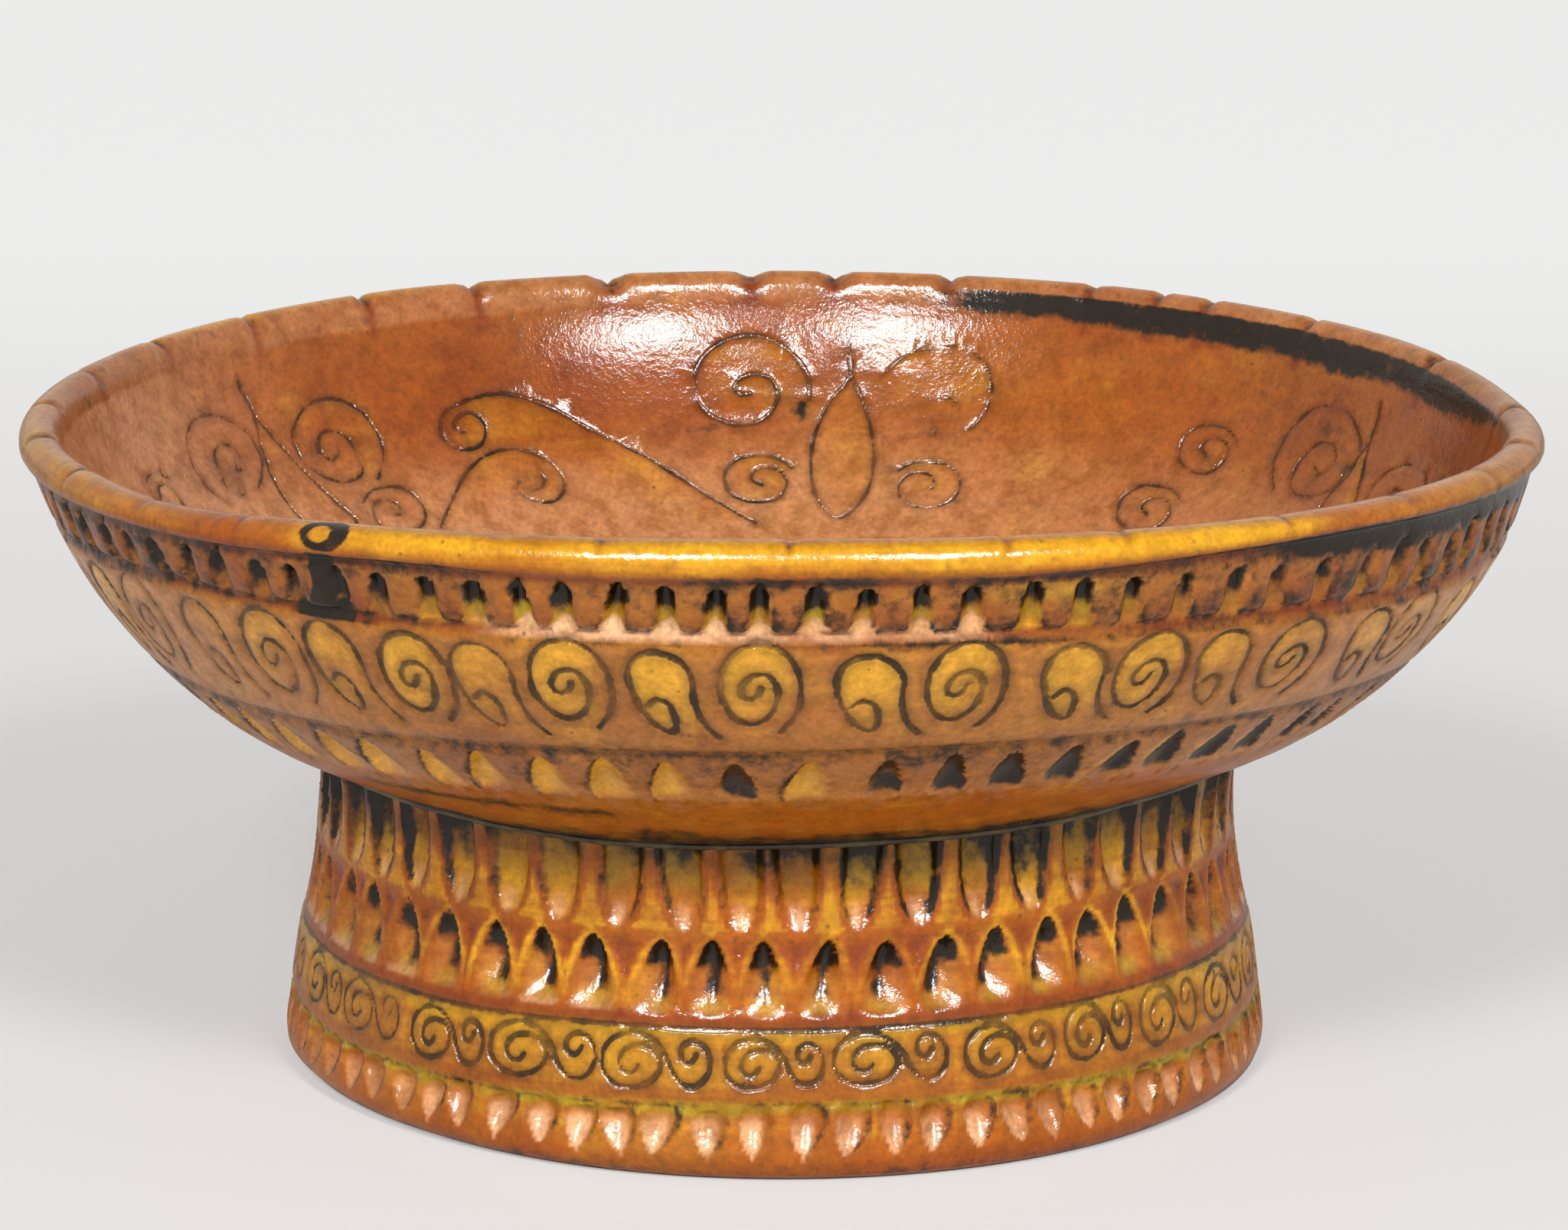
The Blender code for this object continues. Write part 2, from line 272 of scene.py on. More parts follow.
def rollUp(sheet, profile, carve):
    # bring the flat sheet round the wheel's axis, carved, and keep what the glaze needs to know
    mesh = sheet.data
    flat = readSpots(mesh.vertices, "co")
    wall = carve(onProfile(profile, flat[:, 0], flat[:, 1]))
    radius = np.maximum(wall.radius - wall.cut * wall.heightSlope, 0)
    height = wall.height + wall.cut * wall.radiusSlope
    setRound(mesh, wall.angle, radius, height)
    for name in fieldNames:
        mesh.attributes.new(name, "FLOAT", "POINT").data.foreach_set("value", getattr(wall, name))
    deselectAll()
    sheet.select_set(True)
    bpy.context.view_layer.objects.active = sheet
    bpy.ops.object.mode_set(mode="EDIT")
    closeUp(3e-6)
    while mesh.uv_layers:
        mesh.uv_layers.remove(mesh.uv_layers[0])
    print(sheet.name, "has", sum(len(face.vertices) - 2 for face in mesh.polygons), "triangles")


def throwPot(name, settings, profile, carve, cells):
    print(name, "sheet, carving")
    sheet = flatSheet(name, settings["columns"], profile["rows"])
    refine(sheet, profile, settings["levels"] - (0), settings["cell"], cells)
    rollUp(sheet, profile, carve)
    return sheet


def throwingMarks(wall, settings):
    # the hand's unevenness, and the rings that the fingers leave
    angle, seed = wall.angle, settings["seed"]
    sway = np.sin(wall.height / settings["swayHeight"] + 2 * waver(angle, seed + 1, 3))
    drift = 0.5 + 0.25 * waver(angle, seed, 5) + 0.25 * sway
    rings = np.sin(wall.along * 2 * math.pi / settings["ringGap"] + 1.5 * waver(angle, seed + 2, 4))
    return settings["unevenness"] * np.clip(drift, 0, 1), 1 + rings


def hollows(wall, marks, settings, deepest=None, lower=0):
    # one row of gouge cuts: depth, share of the way up, how far across, and each cut's own number
    rng = np.random.default_rng(settings["seed"])
    count = len(marks)
    which, past = nearest(wall.angle, marks)
    top = settings["top"] + (rng.normal(0, settings["rise"], count) - lower)[which]
    low = settings["low"]
    up = (wall.height - low) / (top - low)
    tilt = rng.normal(0, settings["lean"], count)[which]
    across = np.radians(past) * wall.radius - tilt * (wall.height - (low + top) / 2)
    wide = np.interp(up, settings["up"], settings["halfWidth"]) * rng.uniform(0.88, 1.08, count)[which]
    deep = np.interp(up, settings["up"], settings["depth"]) * rng.uniform(0.8, 1.1, count)[which]
    within = (up > 0) & (up < 1)
    reach = across / np.where(within, np.maximum(wide, 1e-3), 1e-3)
    line = deepest[which] if deepest is not None else 0
    offLine = (reach - line) / np.where(reach > line, 1 - line, 1 + line)
    shape = np.clip(1 - np.abs(offLine) ** settings["cross"], 0, 1)
    mouth = np.interp(0, settings["up"], settings["halfWidth"])
    border = np.where(up >= 1, np.hypot(across, wall.height - top), np.abs(across) - wide)
    overMouth = np.hypot(np.maximum(np.abs(across) - mouth, 0), wall.height - low)
    border = np.where(up <= 0, overMouth, border)
    edge = bell(np.maximum(border, 0), 0, settings["edge"]) * (shape <= 0)
    return {"gouged": deep * shape, "shape": shape, "up": up, "reach": reach, "pastLine": reach - line,
            "which": which, "border": border, "edge": edge, "plain": shape <= 0,
            "own": rng.uniform(0, 1, count)[which]}


def turnedLine(height, at, halfWidth):
    return np.clip(1 - np.abs(height - at) / halfWidth, 0, 1)


def drawMotifs(wall, level, drawn, near):
    # how far each point is from the lines drawn on the wall, and how much slip fills them
    gap = np.full(len(near), farOff)
    fill = np.zeros(len(near))
    for centre, middle, path, strength in drawn:
        past = np.radians(halfTurn(wall.angle - centre))
        close = np.where(near & (np.abs(past * wall.radius) < np.abs(path).max() + 3))[0]
        if len(close):
            u = past[close] * wall.radius[close]
            v = level[close] - middle
            lineGap, within = followLine(u, v, path)
            gap[close] = np.minimum(gap[close], lineGap + 0.28 * (1 - strength))
            low, high = path.min(axis=0), path.max(axis=0)
            bright = 0.5 - 0.4 * (u - low[0]) / (high[0] - low[0]) + 0.65 * (v - low[1]) / (high[1] - low[1])
            openEnd = ramp(u, high[0], high[0] - 4) * ramp(v, low[1] - 0.5, low[1] + 4)
            fill[close] = np.maximum(fill[close], within * np.clip(bright, 0.1, 1) * openEnd * strength)
    return gap, fill


def lineCut(gap, settings):
    return settings["lineDepth"] * np.clip(1 - (gap / settings["lineHalfWidth"]) ** 2, 0, 1) ** 1.5


def lay(wall, strokes):
    # strokes of glaze: which glaze, over what, how strongly, and limits. A limit is a name to multiply by, a name
    # with the values where its ramp is 0 and 1, or another function with its name and numbers.
    known = vars(wall)
    for glaze, over, strength, *limits in strokes:
        amount = strength * known[over]
        for limit in limits:
            if isinstance(limit, str):
                limit = (mix, limit)
            elif isinstance(limit[0], str):
                limit = (ramp, *limit)
            shape, name, *numbers = limit
            amount = amount * shape(known[name], *numbers)
        known[glaze] += amount


def begin(wall):
    # nothing cut or laid on yet
    wall.sideways = np.abs(wall.angle)
    for name in ("cut", *glazes):
        setattr(wall, name, np.zeros(len(wall.angle)))


def evenOut(wall):
    for name in glazes:
        setattr(wall, name, np.clip(getattr(wall, name), 0, 1))


# The bowl: a thrown basin with gouged neck, incised scroll band, scooped belly and a rolled lip
bowl = {
    "columns": 88,
    "cell": 9.8,
    "levels": 4,
    "sections": (
        {"rows": 5, "points": ((0, 60.6), (30, 60.6), (60, 60.6), (88.9, 60.6))},
        {"rows": 8, "points": ((88.9, 60.6), (96.2, 63.9), (102.4, 67.4), (108.2, 71.6), (114.2, 77.1),
            (118.8, 82.2), (123.5, 88.1), (127.9, 94.4), (131.2, 100.2), (133.9, 105.8), (135.9, 110.6),
            (137.4, 114.9), (138, 116.9))},
        {"rows": 4, "points": ((138, 116.9), (139.4, 118), (140, 119.9), (139.5, 122), (138, 123.5), (136, 124),
            (134.1, 123.5), (132.8, 122.1), (132.1, 120.2), (131.6, 118.2))},
        {"rows": 17, "points": ((131.6, 118.2), (128.6, 110.3), (123.9, 101.4), (118, 92.6), (111.1, 84.5),
            (103.4, 77.5), (95.1, 72.6), (84.5, 69.9), (72, 69), (55, 68.8), (28, 68.7), (0, 68.7))},
    ),
    "seed": 1, "unevenness": 0.22, "swayHeight": 9, "ringGap": 5.6, "ringsIn": 0.07, "ringsUnder": 0.06,
    "coarse": (9.8, 2.4, 2.4, 4.9), "fine": 1.2, "finest": 0.6,  # cell sizes, one for each part of the section
}

neckGouges = {
    "count": 96, "low": 107.2, "top": 116,
    "seen": (-25.3, -21.7, -18.2, -15.2, -11.5, -7.9, -4.5, -1.5, 2.3, 5.7, 9.6, 13.2, 17.5, 21.2, 25.1, 29.2, 33.5,
        37.5, 42, 46.6),
    "up": (0, 0.06, 0.14, 0.3, 0.5, 0.72, 0.86, 0.95, 1),
    "halfWidth": (3.4, 2.8, 2.2, 1.85, 1.8, 1.8, 1.6, 1.15, 0),
    "depth": (1.3, 1.5, 1.8, 2.3, 2.8, 3.2, 3.1, 2.4, 0),
    "seed": 13, "lean": 0.1, "cross": 2.6, "rise": 0.35, "edge": 0.8, "edgeCut": 0.35,
    "ledge": (106, 106.2), "shelf": 1.4, "shelfLow": 106.1, "shelfTall": 1.15, "shelfFades": (108.2, 107.3),
    "dullSide": (-80, -66, -34, -24), "rightSide": (20, 32, 85, 100), "lowerAtRight": 1.3,
    "quietAtRight": 0.8,
}

hollowGlaze = (
    ("pool", "deepEnd", 1, ("up", 0.4, 0.62), ("shape", 0, 0.25), (mix, "own", 0.8, 0.2),
     (mix, "quiet", 1, -0.2)),
    # painted shade: the tongues darken towards their lower ends, and just under the lip
    ("pool", "tongue", 0.2, ("height", 111.5, 107.7)),
    ("pool", "tongue", 0.3, ("height", 108.1, 107.3)),
    ("pool", "tongue", 1, (wave, "angle", 25, 40, 0.13, 0.1)),
    ("pool", "tongue", 0.12, ("height", 114.8, 116.2)),
    ("pool", "tongueEdge", 0.2, ("height", 114, 111)),
    ("rust", "tongue", 0.3, ("height", 114, 109)),
    ("rust", "tongue", 0.2),
    # painted sheen on the tongues
    ("pale", "tongue", 0.07),
    ("gold", "tongue", 0.3, "edge", ("height", 113, 116)),
    ("olive", "slope", 1, ("up", 0.08, 0.25), (mix, "own", 0.35, 0.55), (mix, "quiet", 1, -0.85)),
    ("pool", "slope", 0.2, "dull"),
    ("pool", "slope", 0.3, ("up", 0.25, 0.5)),
    ("gold", "slope", 0.5, ("up", 0.3, 0.1), (mix, "quiet", 1, -1)),
    ("rust", "above", 0.25, "quiet"),
    ("pool", "above", 1, (mix, "quiet", 0.03, 0.12)),
    ("pool", "above", 0.05, (wave, "angle", 29, 50, 0, 1)),
    # painted sheen on the quieter sides of the neck
    ("pale", "above", 0.05, "quiet"),
    ("pool", "outside", 0.12, ("height", 106.6, 108.6)),
)
shelfGlaze = (
    # painted highlight on the shelf at the front where the lamps shine; away from it the shelf is painted darker
    ("pale", "puddle", 1, (wave, "angle", 15, 70, 0.85, 0.7, 0.2, 1)),
    ("rust", "onShelf", 1, (mix, "shine", 0.8, -0.5)),
    ("pool", "onShelf", 1, (mix, "shine", 1, -1), (mix, "dull", 0.2, 0.25)),
    # painted shadow: a dark line just under the ledge
    ("pool", "outside", 1, (between, "height", 105, 105.6, 105.9, 106.1), (wave, "angle", 16, 16, 0.35, 0.3)),
    ("gold", "outside", 0.6, "plain", (bell, "angle", 19, 5), (bell, "height", 114.5, 1.6)),
    ("olive", "outside", 0.4, "plain", (bell, "angle", 19, 5), (bell, "height", 114.5, 1.6)),
)
neckAngles = spread(neckGouges["seen"], neckGouges["count"])


def carveNeck(wall):
    # gouges over a small shelf, paler and duller on the left under a painted sheen, shorter at the right; painted
    # shade darkens the tongues' lower ends, and the shelf has a painted highlight at the front and a painted shadow
    # line under it
    angle, height, outside = wall.angle, wall.height, wall.outside
    atRight = between(neckAngles, *neckGouges["rightSide"])
    vars(wall).update(hollows(wall, neckAngles, neckGouges, lower=neckGouges["lowerAtRight"] * atRight))
    up, reach, shape = wall.up, wall.reach, wall.shape
    right = atRight[wall.which]
    wall.above = above = ramp(height, *neckGouges["ledge"]) * outside
    wall.dull = dull = between(angle, *neckGouges["dullSide"])
    wall.quiet = np.maximum(dull, neckGouges["quietAtRight"] * right)
    shelf = neckGouges["shelf"] * np.clip((height - neckGouges["shelfLow"]) / neckGouges["shelfTall"], 0, 1)
    shelf = shelf * ramp(height, *neckGouges["shelfFades"])
    gouged = np.maximum(wall.gouged, shelf)
    wall.cut += above * np.maximum(gouged, neckGouges["edgeCut"] * wall.edge)

    wall.tongue = tongue = above * (wall.border > 0) * ramp(height, 107, 107.6)
    wall.tongueEdge = tongue * (wall.edge > 0.55)
    middleOnly = 1 - 1.2 * bell(reach, 0.45, 0.5) * ramp(up, 0.98, 0.88)
    wall.deepEnd = above * (1 - right * middleOnly) * (1 - 0.5 * dull * ramp(reach, 0, 0.7))
    wall.slope = above * ramp(shape, 0.05, 0.3) * ramp(up, 0.6, 0.42)
    lay(wall, hollowGlaze)

    wall.onShelf = outside * between(height, 106, 106.2, 107.1, 107.5)
    # painted highlight: pale blobs on the shelf under the gouges, where the lamps' reflection falls
    wall.shine = between(angle, -24, -17, 11, 17)
    ragged = height + 0.35 * waver(angle, 26, 90) - 1.5 * bell(reach, 0.2, 1.1)
    wall.puddle = above * ramp(ragged, 107.9, 107.4) * wall.shine
    wall.olive *= 1 - 0.8 * wall.puddle
    lay(wall, shelfGlaze)
    paleRim = above * right * bell(wall.border, 0.35, 0.4) * ramp(height, 109.5, 111.5)
    wall.paleRim = paleRim * wave(angle, 32, 40, 0.8, 0.4, 0.2, 1)
    wall.neckBorder = np.where(outside & (height > 107), np.abs(wall.border + 0.2), farOff)


scrollBand = {
    "low": 87.8, "tall": 16.6, "slope": 1.2, "lineHalfWidth": 0.75, "lineDepth": 0.55,
    # azimuth and strength
    "hooks": ((-49, .12), (-34.9, .6), (-22.2, .6), (-8.6, 1), (6.6, 1), (22, 1), (34.8, .7), (50.8, .4)),
    "spirals": ((-58, .1), (-41.3, .5), (-27.9, 1), (-15.5, .95), (-1.5, 1), (13.6, 1), (28.3, .85), (42, .5),
        (57, .3)),
    "count": 24,
    "hook": ((-2.8, .365), (-1.4, .448), (.43, .403), (1.5, .242), (.65, .04), (-1.3, .097), (-3.26, .242),
        (-4.87, .468), (-5.74, .71), (-4.78, .887), (-2.4, .99), (.87, .984), (3.5, .887), (5, .694), (5, .468),
        (5.65, .242), (6.96, .08), (8.35, -.01)),
    "spiral": ((3.26, .042), (5.65, .21), (6.83, .5), (6.2, .758), (4.13, .952), (.65, 1.048), (-3.04, 1),
        (-5.87, .823), (-6.74, .597), (-5.96, .355), (-3.9, .194), (-1.3, .139), (1.3, .226), (2.74, .403),
        (2.74, .597), (1.3, .703), (-.87, .71), (-2.83, .613), (-3.26, .494), (-2.26, .429), (-.65, .461),
        (.13, .565)),
}

bandGlaze = (
    ("gold", "filled", 1, (wave, "angle", 5, 12, 0.92, 0.12)),
    ("gold", "unfilled", 1, (slide, "height", 95, 104, 0.1, 0.26), ("angle", -45, 5)),
    ("pool", "onBand", 0.12, ("height", 93, 86)),
    # painted grazing sheen, paler towards the sides
    ("pale", "onBand", 1, (slide, "sideways", 30, 55, 0.08, 0.22)),
)


def outsideScrolls():
    drawn = []
    rng = np.random.default_rng(31)
    for kind, seen in (("hook", scrollBand["hooks"]), ("spiral", scrollBand["spirals"])):
        shape = np.array(scrollBand[kind]) * (1, scrollBand["tall"] * scrollBand["slope"])
        for angle in spread([at for at, strength in seen], scrollBand["count"]):
            path = smoothPath(shape * rng.uniform(0.95, 1.05, 2), 1.2)
            measured = [strength for at, strength in seen if abs(at - angle) < 0.01]
            strength = measured[0] if measured else rng.uniform(0.65, 1)
            drawn.append((angle, scrollBand["low"] * scrollBand["slope"] + rng.normal(0, 0.3), path, strength))
    return drawn


outsideDrawn = outsideScrolls()


def carveBand(wall):
    height, outside = wall.height, wall.outside
    near = outside & (height > 85) & (height < 107)
    wall.gap, fill = drawMotifs(wall, height * scrollBand["slope"], outsideDrawn, near)
    wall.cut += outside * lineCut(wall.gap, scrollBand)
    wall.filled = outside * fill
    wall.onBand = outside * between(height, 84, 85, 104.8, 105.4)
    wall.unfilled = wall.onBand * (1 - fill)
    lay(wall, bandGlaze)


bellyScoops = {
    "count": 66, "low": 73, "top": 82.1,
    "seen": (-3.6, 2.4, 8.7, 14.3, 19.4, 24.8, 30.1, 34.8),
    "up": (0, 0.12, 0.35, 0.6, 0.8, 0.93, 1),
    "halfWidth": (3, 3.9, 3.9, 3, 2.1, 1.3, 0),
    "depth": (0, 0.9, 1.6, 1.7, 1.3, 0.8, 0),
    "seed": 14, "lean": 0.12, "cross": 1.9, "rise": 0.35, "edge": 0.8, "edgeCut": 0.3,
    "groove": (83.6, 1.1), "grooveCut": 0.8,
    # glaze, height, thickness, how far it wanders with its seed and beats, seed and beats of its gaps, strength
    "smears": (("pool", 69.3, 1.3, 1.4, 20, 9, 21, 24, 0.7), ("gold", 71.6, 0.9, 1.2, 22, 7, 23, 18, 0.8)),
}

scoopGlaze = (
    ("pool", "groove", 0.5),
    ("pool", "outside", 0.22, (bell, "height", 83.2, 2.2)),
    ("gold", "lit", 1, (mix, "own", 0.6, 0.35), ("up", -0.05, 0.25)),
    ("pool", "sharp", 0.5),
    ("pool", "dark", 1, (mix, "own", 0.75, 0.25), ("up", 0.05, 0.2)),
    ("gold", "bright", 0.8),
)
bellyGlaze = (
    ("amber", "belly", 0.75, ("height", 74.5, 71.5)),
    # painted shade under the bowl, darker down towards the foot
    ("pool", "belly", 0.8, ("footLine", 66.5, 61.6)),
    ("pool", "ridges", 1, ("height", 73.5, 78), (wave, "angle", 18, 50, 0.22, 0.1)),
    ("rust", "ridges", 0.25, ("height", 74, 76)),
    # painted grazing sheen, paler towards the sides
    ("pale", "belly", 1, ("height", 72, 75), (slide, "sideways", 20, 45, 0.1, 0.2)),
)
scoopAngles = spread(bellyScoops["seen"], bellyScoops["count"])
scoopLines = np.where((scoopAngles < 5) & (scoopAngles > -90), -0.5, 0.3)  # where each scoop is deepest


def carveBelly(wall):
    angle, height, outside = wall.angle, wall.height, wall.outside
    wall.groove = turnedLine(height, *bellyScoops["groove"]) * outside
    wall.cut += bellyScoops["grooveCut"] * wall.groove
    vars(wall).update(hollows(wall, scoopAngles, bellyScoops, scoopLines))
    up, reach, shape = wall.up, wall.reach, wall.shape
    wall.belly = belly = outside & (height < 83)
    wall.cut += belly * np.maximum(wall.gouged, bellyScoops["edgeCut"] * wall.edge)

    # gold on the left scoops and the one in the middle, dark glaze in the others, and either kind at the back
    middle = scoopAngles[wall.which]
    golden = np.where(np.abs(middle - 2.4) < 1, 1, (middle < -5).astype(float))
    golden = np.where(np.abs(middle) > 75, wall.own > 0.35, golden)
    lower = belly * ramp(shape, 0, 0.25)
    wall.lit = lower * golden * (1 - 0.65 * ramp(reach, -0.4, 0.95))
    wall.sharp = belly * golden * bell(reach, -1.1, 0.2) * (up > 0) * (up < 0.95)
    wall.dark = lower * (1 - golden) * ramp(shape, 0.1, 0.4) * ramp(reach + 0.9 * up, -0.6, -0.15)
    bright = belly * bell(reach, -1.15, 0.35) * between(up, 0.25, 0.5, 0.9, 1)
    wall.bright = bright * between(middle, 22, 30, 60, 75)
    wall.ridges = belly * (1 - lower)
    lay(wall, scoopGlaze)
    wall.pool *= 1 - 0.85 * wall.bright
    for glaze, at, thick, lift, liftSeed, beats, patchSeed, patches, strength in bellyScoops["smears"]:
        smear = bell(height - lift * waver(angle, liftSeed, beats), at, thick)
        vars(wall)[glaze] += belly * smear * ramp(waver(angle, patchSeed, patches), -0.1, 0.6) * strength
    wall.footLine = height + 1.5 * waver(angle, 24, 40)
    lay(wall, bellyGlaze)
    wall.scoopBorder = np.where(belly & (height > 72.5), np.abs(wall.border), farOff)


# azimuth, half width and depth on the inner edge, and depth of the line across the crest
lipNotches = (
    (-64, 1.2, .5, .5), (-52, 1.2, .5, .5), (-41, 1.4, .6, .4), (-19.7, 1.2, .6, .3), (-12.4, 1.1, .5, .3),
    (0.6, 1.2, .7, .4), (15.4, 1.2, .6, .3), (23.9, 1.3, .6, .3), (37.4, 1.3, .6, .3), (50, 1.2, .6, .3),
    (63, 1.2, .5, .3), (76, 1.5, .8, .4), (92, 1.6, .9, .4), (111, 1.8, 1.1, .6), (128.8, 2, 1.2, .7),
    (140.3, 2, 1.2, .7), (145.3, 1.8, 1, .6), (152, 2, 1, .5), (165.3, 2.2, 1.6, 1),
    (175.4, 3.4, 1.9, 1.1), (-177.2, 3.2, 1.8, 1.3), (-164.6, 3.8, 2.2, 1.4), (-152, 2.2, 1.2, .9),
    (-141, 1.8, 1, .7), (-128, 1.6, .9, .5), (-116, 1.5, .8, .5), (-103, 1.5, .8, .5), (-90, 1.3, .7, .5),
    (-77, 1.3, .6, .5),
)

lipGlaze = (
    ("amber", "lip", 1, (slide, "around", 12, 16, 0.5, 0.8)),
    ("pool", "lip", 0.1),
    ("gold", "goldFace", 1, (wave, "angle", 6, 14, 0.78, 0.2)),
    ("olive", "lip", 0.45, (bell, "around", 13, 1.3), "frontGold"),
    ("rust", "lip", 0.7, ("rolled", 7.2, 4.2)),
    ("rust", "lip", 1, ("around", 13, 15), (mix, "away", 0.45, -0.2)),
    ("rust", "bitten", 0.6, "back"),
    ("pool", "lip", 0.2, "lowEdge"),
    ("pool", "lip", 0.1, (between, "sideways", 52, 72, 105, 125)),
    ("olive", "lip", 0.2, (between, "sideways", 52, 72, 105, 125)),
    ("rust", "lip", 0.15, (between, "sideways", 52, 72, 105, 125)),
    ("rust", "lip", 0.45, (between, "angle", -56, -50, -39, -35)),
    ("rust", "frontLip", 0.35, (bell, "wornLine", 12.6, 0.5)),
    # painted sheen along the crest
    ("pale", "lip", 0.25, ("around", 11.5, 14)),
    ("rust", "lip", 0.6, "overCrest", ("around", 8, 11)),
    ("pool", "lip", 0.4, "bite", "innerEdge"),
    ("pool", "lip", 0.2, "overCrest", "front"),
    # painted shade under the lip, wider on the right
    ("pool", "underLip", 1, (wave, "angle", 30, 30, 0.1, 0.1)),
    ("pool", "underLip", 0.7, "darkSide"),
    ("pool", "lipBase", 0.5, "darkSide"),
    ("rust", "paleRim", 0.2),
)


def carveLip(wall):
    # golden over the front, with notches on its inner edge, a line over its crest and painted shade under it
    angle, height, lip = wall.angle, wall.height, wall.lip
    notch = np.array(sorted(lipNotches))
    which, past = nearest(angle, notch[:, 0])
    halfWide, deep, crossing = notch[which, 1:].T
    across = np.abs(np.radians(past) * wall.radius) / halfWide
    wall.bite = bite = np.clip(1 - (across / 1.25) ** 2, 0, 1) ** 2
    wall.overCrest = np.clip(1 - (across * halfWide / 0.9) ** 2, 0, 1) ** 2
    wall.around = around = wall.along - (insideStart - 22)
    wall.innerEdge = bell(around, 15.6, 3)
    crest = bell(around, 11.5, 3.6)
    lipOut = lip | (wall.inside & (height > 114))
    line = crossing * crest * (0.35 * bite + 0.65 * wall.overCrest)
    wall.cut += lipOut * (bite * deep * wall.innerEdge + line)
    wall.bitten = bite * lipOut
    thin = ramp(wall.sideways, 14, 32)
    undercut = (wall.outside | lip) * (wall.radius > 136) * 0.9 * thin
    wall.cut += undercut * bell(height, 117.3, 0.9)

    frontGold = 0.15 + 0.85 * between(angle, -38, -34, 36, 44)
    frontGold += 0.3 * between(angle, -110, -70, -50, -45)
    wall.frontGold = frontGold + 0.5 * ramp(angle, 100, 130) + 0.8 * ramp(-angle, 100, 125)
    wall.away = away = ramp(wall.sideways, 95, 120)
    face = 0.3 + 0.7 * bell(around - 3.4 * away, 9.8, 2.4)
    wall.goldFace = lip * face * wall.frontGold * slide(around - 1.5 * away, 12, 15.5, 1, 0.3)
    wall.rolled = around - 1.2 * thin
    wall.lowEdge = ramp(around + 0.4 * waver(angle, 27, 40), 7.2 + thin, 4.6 + 1.2 * thin)
    wall.wornLine = around - 0.3 * waver(angle, 28, 20)
    wall.front, wall.back = wall.sideways < 90, wall.sideways > 90
    wall.frontLip = lip * (wall.sideways < 60)
    wall.darkSide = darkSide = between(angle, 29, 44, 80, 95)
    # painted shade under the lip, lower and wider on the right
    hem = height + 0.5 * waver(angle, 7, 60)
    wall.underLip = wall.outside * ramp(hem, 115.9 - 1.9 * darkSide, 117.1 - 1.6 * darkSide)
    wall.lipBase = lip & (around < 6.2)
    lay(wall, lipGlaze)
    wall.pool *= 1 - 0.85 * wall.paleRim
    drier = wave(angle, 33, 24, 0.45, 0.35) * (1 - darkSide)
    wall.pool *= 1 - (wall.outside * ramp(height, 115.6, 116.6) * drier).clip(0, 0.8)


